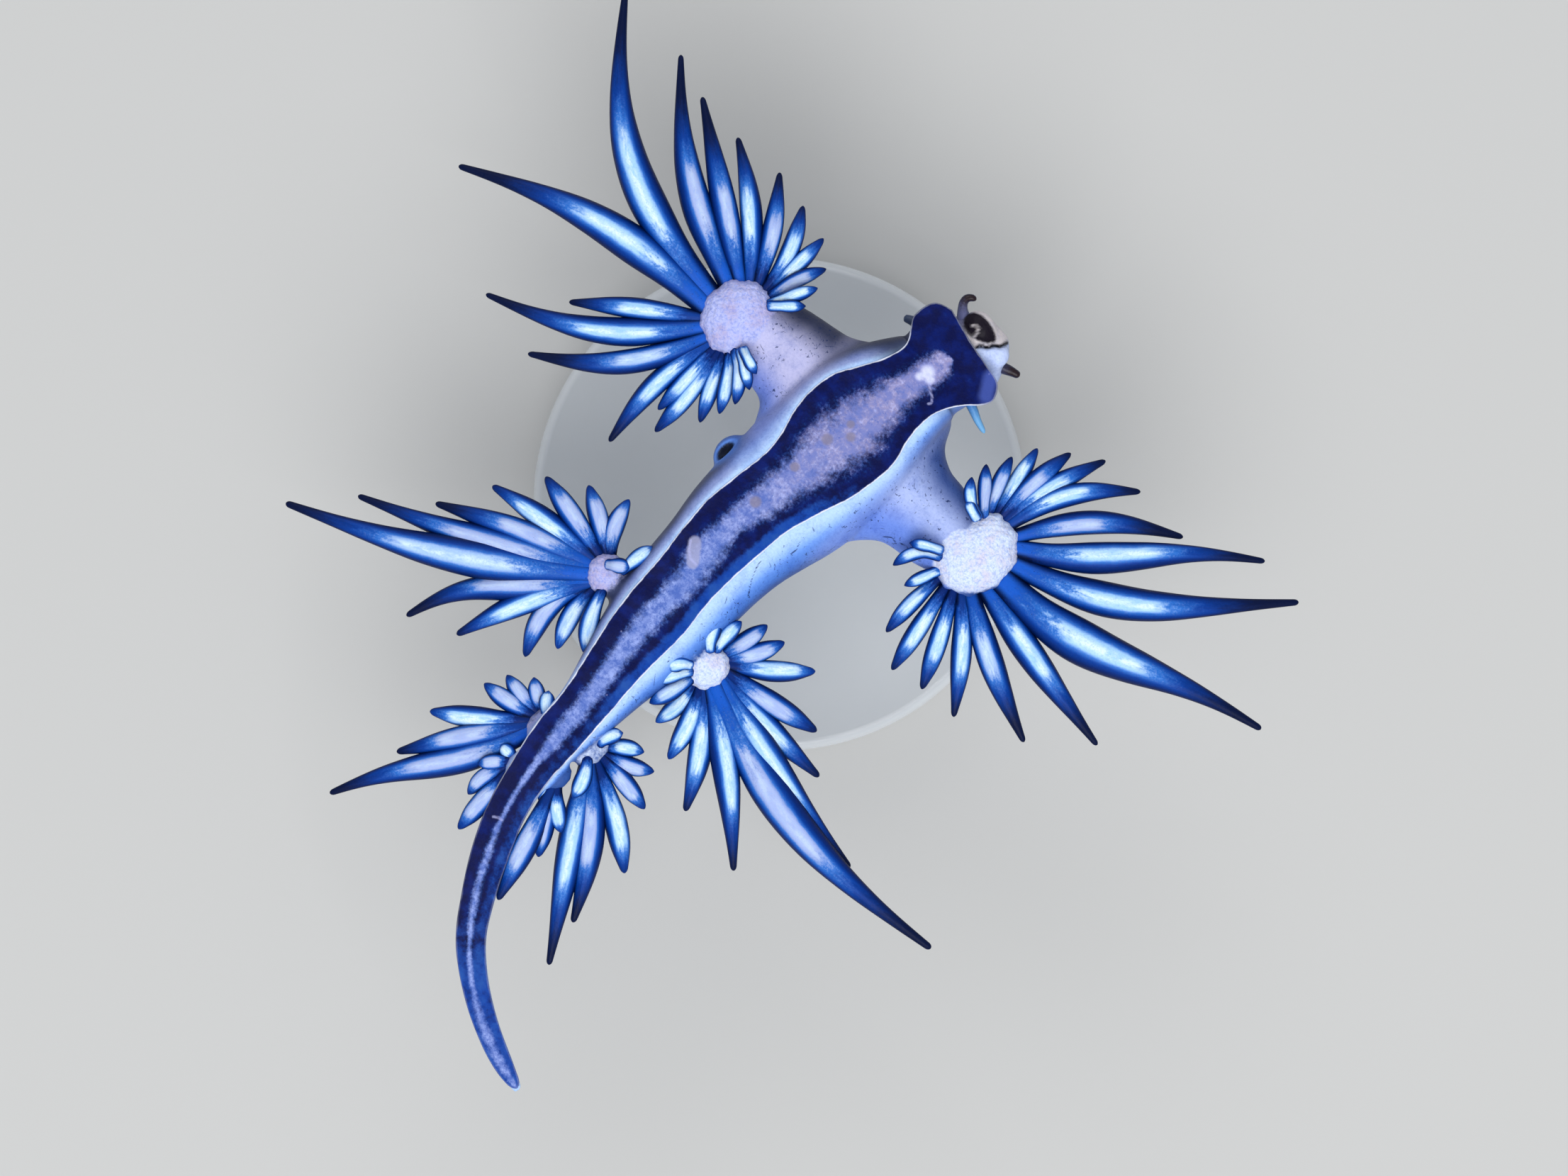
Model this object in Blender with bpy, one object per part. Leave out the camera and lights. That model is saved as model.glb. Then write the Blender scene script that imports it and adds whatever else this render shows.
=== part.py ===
"""A blue sea dragon, the small sea slug Glaucus atlanticus, as a still life-size model.

It lies belly up, as it floats, on a plain display stand. Every size in the tables below is in
millimetres. +Z is up and is the belly side, the head points to -Y, and +X is the animal's right.
The origin is the middle of the stand's underside.
"""

import math
from typing import NamedTuple

import bmesh
import bpy
import numpy as np

MM = 0.001
GAP = 0.3  # kept between neighbouring nodes
FEELER_GAP = 0.2  # kept between a feeler and the head that carries it
SINK = 0.55  # how far a ceras starts inside its pad's rim

# Stand
BASE_RADIUS = 9.5
BASE_HEIGHT = 2.4
BASE_CHAMFER = 0.4
ROD_RADIUS = 0.75

# Where the body's lengths end, as distances along the foot's midline from its first station
HEAD_END = 0.0
TORSO_SPLIT = 8.75
TORSO_END = 18.0
TAIL_SPLIT = 25.3

FOOT_THICKNESS = 0.85
FOOT_EDGE = 0.5
FLESH_BELOW_SOLE = 0.45  # the flank's highest line, under the level of the sole

# Body stations from the neck to the tip of the tail. Columns: midline x and y, half width of the
# foot, reach of the right and of the left flank from the midline, level of the sole, depth to
# the back.
BODY = (
    (-0.56, -7.10, 1.34, 1.75, 1.80, 14.90, 2.70),
    (-0.33, -6.10, 1.38, 2.15, 2.15, 14.95, 3.05),
    (-0.12, -5.10, 1.67, 2.45, 2.55, 15.00, 3.35),
    (0.01, -4.20, 2.00, 2.59, 2.80, 15.00, 3.50),
    (0.03, -3.30, 2.03, 2.62, 2.95, 15.00, 3.55),
    (0.00, -2.00, 1.80, 2.65, 2.95, 15.00, 3.55),
    (0.10, -0.90, 1.52, 2.60, 2.95, 15.00, 3.50),
    (0.34, 0.50, 1.39, 2.30, 2.87, 15.00, 3.40),
    (0.46, 1.90, 1.40, 2.05, 2.70, 15.00, 3.20),
    (0.43, 3.30, 1.30, 1.82, 2.54, 14.97, 3.05),
    (0.32, 4.70, 1.22, 1.78, 2.42, 14.93, 2.95),
    (0.18, 6.10, 1.26, 1.72, 2.22, 14.90, 2.80),
    (0.06, 7.50, 1.15, 1.48, 2.10, 14.87, 2.60),
    (-0.13, 8.90, 1.02, 1.20, 1.75, 14.83, 2.35),
    (-0.36, 10.40, 0.92, 0.98, 1.38, 14.78, 2.10),
    (-0.49, 11.95, 0.90, 0.92, 1.06, 14.72, 1.85),
    (-0.75, 13.70, 0.76, 0.76, 0.80, 14.62, 1.60),
    (-1.12, 15.10, 0.73, 0.73, 0.73, 14.52, 1.45),
    (-1.77, 16.55, 0.71, 0.71, 0.71, 14.44, 1.35),
    (-2.69, 18.15, 0.62, 0.62, 0.62, 14.35, 1.20),
    (-3.55, 19.35, 0.56, 0.56, 0.56, 14.28, 1.10),
    (-4.80, 20.38, 0.50, 0.50, 0.50, 14.20, 1.00),
    (-6.35, 21.25, 0.44, 0.44, 0.44, 14.12, 0.85),
    (-7.80, 21.80, 0.35, 0.35, 0.35, 14.04, 0.70),
    (-9.00, 22.10, 0.12, 0.12, 0.12, 13.96, 0.24),
)

# Front of the foot, from its front edge back to the neck: right end x and y, left end x and y.
FOOT_FRONT = (
    (0.62, -9.40, -0.30, -9.15),
    (1.18, -9.12, -2.05, -8.88),
    (1.38, -8.62, -2.70, -8.56),
    (1.36, -8.20, -2.88, -8.12),
    (1.14, -7.80, -2.70, -7.70),
    (0.88, -7.48, -2.26, -7.28),
)
FOOT_FRONT_LEVEL = 14.85

# Head under the foot's front, from the neck to the snout: right x, y, left x, y, top, bottom.
HEAD = (
    (1.10, -7.46, -2.20, -7.36, 14.40, 12.15),
    (1.10, -7.95, -2.45, -7.85, 14.40, 12.05),
    (0.85, -8.65, -2.55, -8.60, 14.40, 12.00),
    (0.42, -9.22, -2.42, -9.06, 14.45, 12.10),
    (0.08, -9.66, -2.22, -9.50, 14.38, 12.40),
    (-0.30, -10.02, -1.98, -9.90, 14.10, 12.75),
    (-0.65, -10.24, -1.62, -10.20, 13.75, 13.10),
)
# Lips: middle x, y, z and radii
LIP_RIGHT = ((-0.60, -9.70, 14.05), (0.66, 0.55, 0.48))
LIP_LEFT = ((-1.82, -9.38, 14.02), (0.44, 0.52, 0.42))
# Mouth slit between them: x and y along it
MOUTH_LINE = ((-0.98, -9.05), (-1.26, -9.32), (-1.42, -9.64), (-1.62, -9.80), (-1.72, -10.20))
MOUTH_WIDTH = 0.16
MOUTH_BOTTOM = 13.95

# Feelers as x, y, z, radius from root to tip
ORAL_RIGHT = ((-0.20, -9.25, 13.55, 0.26), (0.18, -9.55, 13.60, 0.26), (0.42, -9.80, 13.70, 0.25),
              (0.48, -10.05, 13.76, 0.22), (0.37, -10.26, 13.80, 0.17), (0.20, -10.36, 13.82, 0.08))
ORAL_LEFT = ((-1.90, -9.10, 13.50, 0.27), (-2.38, -9.32, 13.52, 0.26),
             (-2.68, -9.43, 13.55, 0.20), (-2.92, -9.51, 13.57, 0.08))
RHINOPHORE_RIGHT = ((0.50, -8.46, 12.65, 0.29), (1.08, -8.24, 12.60, 0.27),
                    (1.42, -8.10, 12.58, 0.20), (1.62, -8.00, 12.56, 0.09))
RHINOPHORE_LEFT = ((-1.90, -7.60, 12.70, 0.29), (-2.55, -7.40, 12.66, 0.27),
                   (-3.05, -7.26, 12.64, 0.22), (-3.54, -7.16, 12.62, 0.09))

# Genital papilla on the right flank, with its pit
PAPILLA = ((2.32, 0.05, 13.05), (0.66, 0.80, 0.62))
PAPILLA_PIT = ((2.98, 0.15, 13.25), (0.26, 0.42, 0.28))

# Front arms from inside the body out to the pad: front x, y, rear x, y, middle level, thickness
ARM_RIGHT = (
    (1.05, -7.10, 1.40, 0.20, 12.95, 1.90),
    (1.62, -6.63, 2.30, -0.60, 12.95, 2.35),
    (2.41, -6.11, 2.75, -1.45, 12.90, 2.35),
    (3.10, -5.92, 3.10, -2.00, 12.86, 2.20),
    (3.80, -5.78, 3.65, -2.18, 12.80, 1.95),
    (4.60, -5.56, 4.50, -2.20, 12.75, 1.70),
)
ARM_LEFT = (
    (-1.60, -7.00, -1.60, 0.60, 12.95, 1.90),
    (-2.38, -6.55, -2.55, -0.30, 12.95, 2.40),
    (-2.90, -5.70, -3.07, -1.02, 12.90, 2.40),
    (-3.60, -5.28, -3.64, -1.56, 12.86, 2.25),
    (-4.25, -5.20, -4.21, -1.75, 12.80, 2.00),
    (-5.00, -5.16, -4.95, -1.86, 12.75, 1.75),
)

# Clusters of cerata. A pad is given by its middle, half length along X and along Y, level and
# half height. A ceras is: bearing of its root around the pad, bearing and reach of its tip from
# the pad's middle, sideways bow as a share of its length, its lift where it rises over the flesh
# beside the pad, a hook that bends its root half one way and its tip half the other, and how
# many times as stout it is at its root as others of its length. Bearings are degrees from +X
# towards +Y.
PADS = {
    "right_1": (5.85, -3.62, 1.45, 1.50, 12.95, 1.15),
    "left_1": (-6.45, -3.80, 1.50, 1.72, 12.95, 1.18),
    "right_2": (2.45, 6.45, 0.85, 0.80, 13.35, 0.88),
    "left_2": (-2.50, 6.20, 0.85, 0.92, 13.35, 0.90),
    "right_3": (0.25, 11.95, 0.50, 0.85, 13.62, 0.55),
    "left_3": (-1.75, 11.35, 0.50, 0.80, 13.62, 0.55),
    "right_4": (-0.15, 13.70, 0.38, 0.48, 14.15, 0.36),
    "left_4": (-1.62, 12.95, 0.38, 0.60, 14.15, 0.36),
}
CERATA = {
    "right_1": (
        (10, -25, 12.7, 0.13), (33, 17, 11.8, -0.07, 0, 0, 1.15), (-28, -32, 10.0, 0.07),
        (-50, -35, 8.3, 0.0), (-68, -44, 6.7, -0.05), (-78, -60, 5.6, -0.04),
        (-87, -74, 4.8, -0.08), (-95, -91, 4.3, -0.01), (-103, -105, 3.7, 0.06, 0.4),
        (-111, -114, 3.1, 0.0, 0.9), (-112, -125, 2.5, -0.01, 1.25), (47, 40, 6.3, -0.01),
        (59, 40, 9.4, 0.09), (80, 55, 7.9, 0.10), (88, 89, 6.6, -0.06),
        (95, 94, 4.5, 0.01), (104, 99, 5.2, 0.03), (112, 115, 4.1, -0.01),
        (119, 124, 3.6, 0.03, 0.4), (127, 133, 3.2, 0.08, 0.75), (138, 144, 2.7, 0.01, 1.15),
        (143, 153, 2.2, -0.03, 1.35),
    ),
    "left_1": (
        (-44, -35, 2.0, 0.05, 1.35), (-48, -41, 2.8, 0.13, 1.1), (-54, -51, 3.3, 0.01, 0.7),
        (-61, -65, 3.8, 0.04, 0.2), (-68, -75, 4.5, 0.0), (-75, -88, 5.1, 0.04),
        (-83, -99, 5.9, 0.05), (-92, -114, 6.5, 0.11), (-111, -130, 7.7, 0.09),
        (-124, -136, 10.7, -0.01, 0, -0.02), (-149, -143, 12.1, -0.085, 0, -0.01),
        (179, -166, 12.4, -0.04, 0, -0.022, 1.38), (148, 168, 8.4, -0.01, 0, 0, 1.2),
        (124, 150, 7.2, -0.03, 0, 0, 1.2), (108, 128, 6.1, 0.03), (98, 114, 5.4, 0.01),
        (88, 100, 5.3, 0.0), (75, 87, 4.4, -0.03), (69, 70, 2.9, -0.01, 0.5),
        (50, 54, 3.1, -0.17, 1.0), (39, 37, 2.5, -0.03, 1.35),
    ),
    "right_2": (
        (-122, -103, 2.0, 0.01, 1.0), (-71, -60, 2.9, 0.10), (-60, -32, 3.4, -0.02),
        (-44, -12, 4.3, 0.0), (-9, 8, 5.4, -0.03), (13, 23, 6.9, -0.03), (29, 28, 9.7, 0.02),
        (43, 33, 12.2, 0.04), (67, 57, 7.6, -0.05, 0, 0.03), (79, 67, 6.0, -0.04),
        (94, 90, 4.3, -0.17), (109, 101, 3.3, -0.10), (120, 119, 3.0, -0.06, 0.6),
        (-30, -115, 0.9, 0.0, 0.95),
    ),
    "left_2": (
        (-58, -59, 1.8, 0.09, 0.95), (-71, -82, 2.1, 0.06, 0.6), (-83, -100, 2.7, -0.03, 0.2),
        (-92, -117, 3.0, -0.05), (-101, -137, 4.0, -0.04), (-118, -165, 4.7, -0.01),
        (-142, -179, 5.8, -0.02), (-168, 171, 9.1, -0.02), (163, 174, 13.3, -0.08),
        (137, 143, 7.6, 0.03), (118, 127, 5.4, 0.05), (103, 113, 3.7, 0.06),
        (93, 93, 2.8, 0.07), (82, 78, 2.5, 0.03, 0.5), (64, 61, 2.0, -0.05, 0.9),
        (42, 49, 1.5, -0.15, 1.05),
    ),
    "right_3": (
        (-84, -55, 1.2, 0.03, 0.5), (-63, -33, 1.7, 0.04), (-50, -7, 2.2, 0.05),
        (-15, 12, 2.6, 0.04), (5, 40, 4.2, 0.02), (57, 57, 5.5, -0.01), (80, 64, 8.3, 0.02, 0, 0.02),
    ),
    "left_3": (
        (-89, -105, 1.3, 0.08, 0.5), (-112, -137, 1.9, 0.06), (-134, -154, 2.4, -0.06),
        (-156, 177, 2.9, 0.02), (147, 150, 4.7, 0.04), (118, 129, 6.4, 0.06),
        (103, 124, 8.1, 0.0), (80, 113, 1.9, 0.08),
    ),
    "right_4": (
        (-58, -5, 0.9, -0.01), (-13, 46, 1.4, -0.03), (58, 78, 2.1, -0.10), (79, 94, 3.2, 0.0),
    ),
    "left_4": (
        (79, 103, 1.2, -0.02), (120, 138, 2.0, -0.04), (104, 121, 3.0, -0.01),
        (96, 109, 5.0, 0.01),
    ),
}
# Size of a ceras from its length. Its outline, from root to tip, is given as shares of its widest
# for a long and slender ceras and for a short and leafy one, with those between blended.
CERAS_WIDTH_BASE = 0.53
CERAS_WIDTH_PER_LENGTH = 0.074
CERAS_FLATNESS = 0.78
CERAS_LEAST = 0.5
CERAS_ARCH = 0.03
CERAS_DROOP = 0.045
CERAS_STAGGER = 0.10
LIFT_AT_ROOT = 0.55  # share of a lifted ceras's rise that it has at its root
LIFT_BY = 0.35  # share of its length at which it has all of the rise
SLENDER_LENGTH = 9.0
LEAFY_LENGTH = 5.0
LONG_CERAS = 4.6
LONG_OUTLINE = ((0.0, 0.50, 0.50), (0.15, 0.62, 0.66), (0.35, 1.0, 0.88), (0.53, 0.90, 1.0),
                (0.70, 0.62, 0.92), (0.85, 0.37, 0.66), (0.95, 0.22, 0.36), (1.0, 0.0, 0.0))
LEAF_OUTLINE = ((0.0, 0.5), (0.3, 0.8), (0.58, 1.0), (0.80, 0.84), (0.93, 0.48), (1.0, 0.0))

# Node colours: base colour, roughness
NAVY = ((0.010, 0.022, 0.150), 0.35)
SILVER_BLUE = ((0.300, 0.430, 0.780), 0.40)
PALE_LILAC = ((0.560, 0.580, 0.820), 0.55)
DARK_LIP = ((0.060, 0.030, 0.070), 0.35)
CYAN = ((0.150, 0.420, 0.700), 0.40)
CERATA_BLUE = ((0.130, 0.240, 0.640), 0.35)
ACRYLIC = ((0.800, 0.840, 0.880), 0.15)


def clear_scene():
    """Remove whatever the open file holds."""
    for item in list(bpy.data.objects):
        bpy.data.objects.remove(item, do_unlink=True)


def make_material(name, finish):
    """A Principled material from a base colour and a roughness."""
    colour, roughness = finish
    material = bpy.data.materials.new(name)
    material.use_nodes = True
    shader = material.node_tree.nodes["Principled BSDF"]
    shader.inputs["Base Color"].default_value = (*colour, 1.0)
    shader.inputs["Roughness"].default_value = roughness
    shader.inputs["Metallic"].default_value = 0.0
    material.diffuse_color = (*colour, 1.0)
    return material


def smooth_through(knots, values, at):
    """Values of smooth curves through the rows of values, at positions along the knots."""
    knots = np.asarray(knots, float)
    values = np.asarray(values, float)
    slopes = np.gradient(values, knots, axis=0)
    i = np.clip(np.searchsorted(knots, at) - 1, 0, len(knots) - 2)
    span = knots[i + 1] - knots[i]
    t = (at - knots[i]) / span
    a = 2 * t**3 - 3 * t**2 + 1
    b = t**3 - 2 * t**2 + t
    c = -2 * t**3 + 3 * t**2
    d = t**3 - t**2
    return a * values[i] + b * span * slopes[i] + c * values[i + 1] + d * span * slopes[i + 1]


BODY_TABLE = np.array(BODY)
BODY_ALONG = np.concatenate(
    ([0.0], np.cumsum(np.linalg.norm(np.diff(BODY_TABLE[:, :2], axis=0), axis=1))))
BODY_LENGTH = float(BODY_ALONG[-1])


def body_at(s):
    """The smoothed body columns at distance s, and the unit vector to the animal's right."""
    s = min(max(s, 0.0), BODY_LENGTH)
    row = smooth_through(BODY_ALONG, BODY_TABLE, s)
    step = 0.05
    ahead = smooth_through(BODY_ALONG, BODY_TABLE, min(s + step, BODY_LENGTH))
    behind = smooth_through(BODY_ALONG, BODY_TABLE, max(s - step, 0.0))
    along = ahead[:2] - behind[:2]
    along /= np.linalg.norm(along)
    return row, np.array((along[1], -along[0])), along


def loft(rings, first_tip=None, last_tip=None):
    """A closed mesh over rings of equal point counts, as arrays of points and triangles."""
    rings = [np.asarray(ring, float) for ring in rings]
    count = len(rings[0])
    points = [p for ring in rings for p in ring]
    faces = []
    for r in range(len(rings) - 1):
        for k in range(count):
            a = r * count + k
            b = r * count + (k + 1) % count
            c, d = a + count, b + count
            faces += [(a, b, d), (a, d, c)]
    first = rings[0].mean(axis=0) if first_tip is None else np.asarray(first_tip, float)
    last = rings[-1].mean(axis=0) if last_tip is None else np.asarray(last_tip, float)
    points += [first, last]
    start, end = len(points) - 2, len(points) - 1
    base = (len(rings) - 1) * count
    for k in range(count):
        faces.append((start, (k + 1) % count, k))
        faces.append((end, base + k, base + (k + 1) % count))
    return np.array(points), faces


def section(right, left, top, bottom, count=16, power=2.3, shape=None):
    """A rounded upright section between two edge points, from top to bottom."""
    right, left = np.asarray(right, float), np.asarray(left, float)
    middle, half = (right + left) / 2, (right - left) / 2
    centre, height = (top + bottom) / 2, (top - bottom) / 2
    ring = []
    for k in range(count):
        angle = 2 * math.pi * k / count
        across = math.copysign(abs(math.cos(angle)) ** (2 / power), math.cos(angle))
        up = math.copysign(abs(math.sin(angle)) ** (2 / power), math.sin(angle))
        xy = middle + half * across
        ring.append((xy[0], xy[1], centre + height * up))
    return ring


def foot_section(right, left, level, grow=0.0):
    """The foot's flat section: a thin margin and a deeper middle, grown for a cutter."""
    right, left = np.asarray(right, float), np.asarray(left, float)
    middle = (right + left) / 2
    half = (right - left) / 2
    half = half * (1 + grow / np.linalg.norm(half))
    outline = ((1.0, -0.5 * FOOT_EDGE), (0.93, 0.0), (0.45, -0.05), (-0.45, -0.05),
               (-0.93, 0.0), (-1.0, -0.5 * FOOT_EDGE), (-0.93, -FOOT_EDGE),
               (-0.4, -FOOT_THICKNESS), (0.4, -FOOT_THICKNESS), (0.93, -FOOT_EDGE))
    ring = []
    for across, up in outline:
        xy = middle + half * across
        up = up + grow if up > -0.5 * FOOT_EDGE else up - grow
        ring.append((xy[0], xy[1], level + up))
    return ring


def tail_section(row, side, grow=0.0):
    """The tail's section: the foot on top, and under its edges the flanks."""
    foot, right, left = row[2] + grow, row[3] + grow, row[4] + grow
    outline = ((foot, -0.16), (0.86 * foot, 0.0), (0.3 * foot, -0.03), (-0.3 * foot, -0.03),
               (-0.86 * foot, 0.0), (-foot, -0.16), (-0.98 * left, -0.45), (-0.62 * left, -0.86),
               (0.0, -1.0), (0.62 * right, -0.86), (0.98 * right, -0.45))
    depth = row[6] + 2 * grow
    ring = []
    for across, up in outline:
        xy = row[:2] + side * across
        ring.append((xy[0], xy[1], row[5] + grow + depth * up))
    return ring


def foot_edges(s):
    """Right and left edge of the foot and its level at distance s."""
    row, side, _ = body_at(s)
    return row[:2] + side * row[2], row[:2] - side * row[2], row[5]


def flesh_ring(s, grow=0.0, shift=0.0):
    """A section of the torso's flesh under the foot."""
    row, side, along = body_at(s)
    middle = row[:2] + along * shift
    return section(middle + side * (row[3] + grow), middle - side * (row[4] + grow),
                   row[5] - FLESH_BELOW_SOLE + grow, row[5] - row[6] - grow)


def spaced(start, end, step):
    """Evenly spaced distances from start to end, about a step apart."""
    return np.linspace(start, end, max(2, round((end - start) / step) + 1))


def flesh_loft(start, end, step=1.1, grow=0.0):
    """A length of the torso, or its grown copy for cutting."""
    rings = [flesh_ring(s, grow) for s in spaced(start, end, step)]
    if grow:
        rings.insert(0, flesh_ring(start, grow, -grow))
        rings.append(flesh_ring(end, grow, grow))
    return loft(rings)


def tail_loft(start, end, step=1.0, grow=0.0):
    """A length of the tail, pointed where it reaches the body's end."""
    stop = min(end, BODY_LENGTH)
    rings = []
    for s in spaced(start, stop, step):
        row, side, _ = body_at(s)
        rings.append(tail_section(row, side, grow))
    return loft(rings)


def foot_loft(start, end, step=1.1, with_front=False, grow=0.0):
    """A length of the foot, with the wide front lobes if asked."""
    rings = []
    if with_front:
        for right_x, right_y, left_x, left_y in FOOT_FRONT:
            rings.append(foot_section((right_x, right_y), (left_x, left_y),
                                      FOOT_FRONT_LEVEL, grow))
        if grow:
            forward = [(x, y - grow, z) for x, y, z in rings[0]]
            rings.insert(0, forward)
    for s in spaced(start, end, step):
        right, left, level = foot_edges(s)
        rings.append(foot_section(right, left, level, grow))
    return loft(rings)


def rows_loft(rows, grow=0.0, count=12, power=2.2):
    """A loft over rows of two edge points, a middle level and a thickness."""
    rings = []
    for front_x, front_y, rear_x, rear_y, level, thick in rows:
        front, rear = np.array((front_x, front_y)), np.array((rear_x, rear_y))
        out = (front - rear) / np.linalg.norm(front - rear)
        rings.append(section(front + out * grow, rear - out * grow,
                             level + thick / 2 + grow, level - thick / 2 - grow, count, power))
    if grow:
        step = np.array(rings[-1]).mean(axis=0) - np.array(rings[-2]).mean(axis=0)
        step *= grow / np.linalg.norm(step)
        rings.append([tuple(np.array(p) + step) for p in rings[-1]])
    return loft(rings)


def ball(middle, radii, around=12, up=6, power=2.0):
    """A closed rounded lump; a power over 2 makes it squarer."""
    rings = []
    for r in range(1, up):
        tilt = -math.pi / 2 + math.pi * r / up
        flat = abs(math.cos(tilt)) ** (2 / power)
        rise = math.copysign(abs(math.sin(tilt)) ** (2 / power), math.sin(tilt))
        ring = []
        for k in range(around):
            angle = 2 * math.pi * k / around
            ring.append((middle[0] + radii[0] * flat * math.cos(angle),
                         middle[1] + radii[1] * flat * math.sin(angle),
                         middle[2] + radii[2] * rise))
        rings.append(ring)
    bottom = (middle[0], middle[1], middle[2] - radii[2])
    top = (middle[0], middle[1], middle[2] + radii[2])
    return loft(rings, bottom, top)


def tube(path, sides=8):
    """A tapering round feeler along points given with their radii."""
    path = np.array(path, float)
    rings = []
    for i, (x, y, z, radius) in enumerate(path[:-1]):
        before, after = path[max(i - 1, 0)][:3], path[i + 1][:3]
        along = (after - before) / np.linalg.norm(after - before)
        across = np.cross(along, (0, 0, 1))
        across /= np.linalg.norm(across)
        up = np.cross(across, along)
        ring = []
        for k in range(sides):
            angle = 2 * math.pi * k / sides
            ring.append(np.array((x, y, z))
                        + radius * (math.cos(angle) * across + math.sin(angle) * up))
        rings.append(ring)
    return loft(rings, None, path[-1][:3])


def cylinder(middle, radius, bottom, top, sides=24, chamfer=0.0):
    """An upright round bar or disc, with an edge chamfer at both ends."""
    levels = [(bottom, radius - chamfer), (bottom + chamfer, radius),
              (top - chamfer, radius), (top, radius - chamfer)]
    if not chamfer:
        levels = [(bottom, radius), (top, radius)]
    rings = []
    for z, r in levels:
        rings.append([(middle[0] + r * math.cos(2 * math.pi * k / sides),
                       middle[1] + r * math.sin(2 * math.pi * k / sides), z)
                      for k in range(sides)])
    return loft(rings)


def ceras_outline(length):
    """Distances along a ceras as shares of its length, each with its width there as a share."""
    if length <= LONG_CERAS:
        return LEAF_OUTLINE
    slender = (length - LEAFY_LENGTH) / (SLENDER_LENGTH - LEAFY_LENGTH)
    slender = min(max(slender, 0.0), 1.0)
    return tuple((t, slender * thin + (1 - slender) * leafy) for t, thin, leafy in LONG_OUTLINE)


class Ceras(NamedTuple):
    """A ceras as the tables give it."""

    root: float
    tip: float
    reach: float
    bow: float
    lift: float = 0.0
    hook: float = 0.0
    girth: float = 1.0


def ceras(pad, entry, index):
    """One ceras of a pad, from deep inside the pad's rim to its pointed tip."""
    x, y, rim_x, rim_y, level, _ = pad
    root_angle, tip_angle = math.radians(entry.root), math.radians(entry.tip)
    inward = max(0.25, 1 - SINK / min(rim_x, rim_y))
    root = np.array((x + rim_x * inward * math.cos(root_angle),
                     y + rim_y * inward * math.sin(root_angle)))
    tip = np.array((x + entry.reach * math.cos(tip_angle), y + entry.reach * math.sin(tip_angle)))
    chord = tip - root
    length = float(np.linalg.norm(chord))
    left = np.array((-chord[1], chord[0])) / length
    widest = CERAS_WIDTH_BASE + CERAS_WIDTH_PER_LENGTH * length
    sides = 8 if length > LONG_CERAS else 6
    stagger = CERAS_STAGGER * (1 if index % 2 else -1)

    def place(t):
        sideways = entry.bow * math.sin(math.pi * t) + entry.hook * math.sin(2 * math.pi * t)
        xy = root + chord * t + left * length * sideways
        risen = min(t / LIFT_BY, 1.0)
        risen = LIFT_AT_ROOT + (1 - LIFT_AT_ROOT) * risen * risen * (3 - 2 * risen)
        z = (level + stagger * t + entry.lift * risen
             + length * (CERAS_ARCH * math.sin(math.pi * t) - CERAS_DROOP * t * t))
        return np.array((xy[0], xy[1], z))

    rings = []
    for t, share in ceras_outline(length)[:-1]:
        along = place(min(t + 0.02, 1)) - place(max(t - 0.02, 0))
        along /= np.linalg.norm(along)
        across = np.cross(along, (0, 0, 1))
        across /= np.linalg.norm(across)
        up = np.cross(across, along)
        width = widest * share * (1 + (entry.girth - 1) * (1 - t))
        height = width * CERAS_FLATNESS
        if t < 0.8:
            width, height = max(width, CERAS_LEAST), max(height, CERAS_LEAST)
        ring = []
        for k in range(sides):
            angle = 2 * math.pi * (k + 0.5) / sides
            ring.append(place(t) + across * math.cos(angle) * width / 2
                        + up * math.sin(angle) * height / 2)
        rings.append(ring)
    return loft(rings, None, place(1.0))


def make_object(name, shape):
    """A mesh object in metres from points in millimetres and triangles, facing outward."""
    points, faces = shape
    mesh = bpy.data.meshes.new(name)
    mesh.from_pydata([tuple(p * MM) for p in points], [], faces)
    work = bmesh.new()
    work.from_mesh(mesh)
    bmesh.ops.recalc_face_normals(work, faces=work.faces)
    work.to_mesh(mesh)
    work.free()
    made = bpy.data.objects.new(name, mesh)
    bpy.context.scene.collection.objects.link(made)
    return made


def combine(target, shapes, operation):
    """Join shapes to the target or cut them from it, in one Boolean on a collection."""
    helpers = bpy.data.collections.new("helpers")
    bpy.context.scene.collection.children.link(helpers)
    for i, shape in enumerate(shapes):
        helper = make_object(f"helper_{i}", shape)
        bpy.context.scene.collection.objects.unlink(helper)
        helpers.objects.link(helper)
    modifier = target.modifiers.new("combine", "BOOLEAN")
    modifier.operation = operation
    modifier.operand_type = "COLLECTION"
    modifier.collection = helpers
    modifier.solver = "MANIFOLD"
    apply_modifier(target, modifier)
    for helper in list(helpers.objects):
        bpy.data.objects.remove(helper, do_unlink=True)
    bpy.data.collections.remove(helpers)


def apply_modifier(target, modifier):
    """Keep the modifier's result as the object's own mesh."""
    graph = bpy.context.evaluated_depsgraph_get()
    result = bpy.data.meshes.new_from_object(target.evaluated_get(graph))
    target.modifiers.remove(modifier)
    target.data = result


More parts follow.
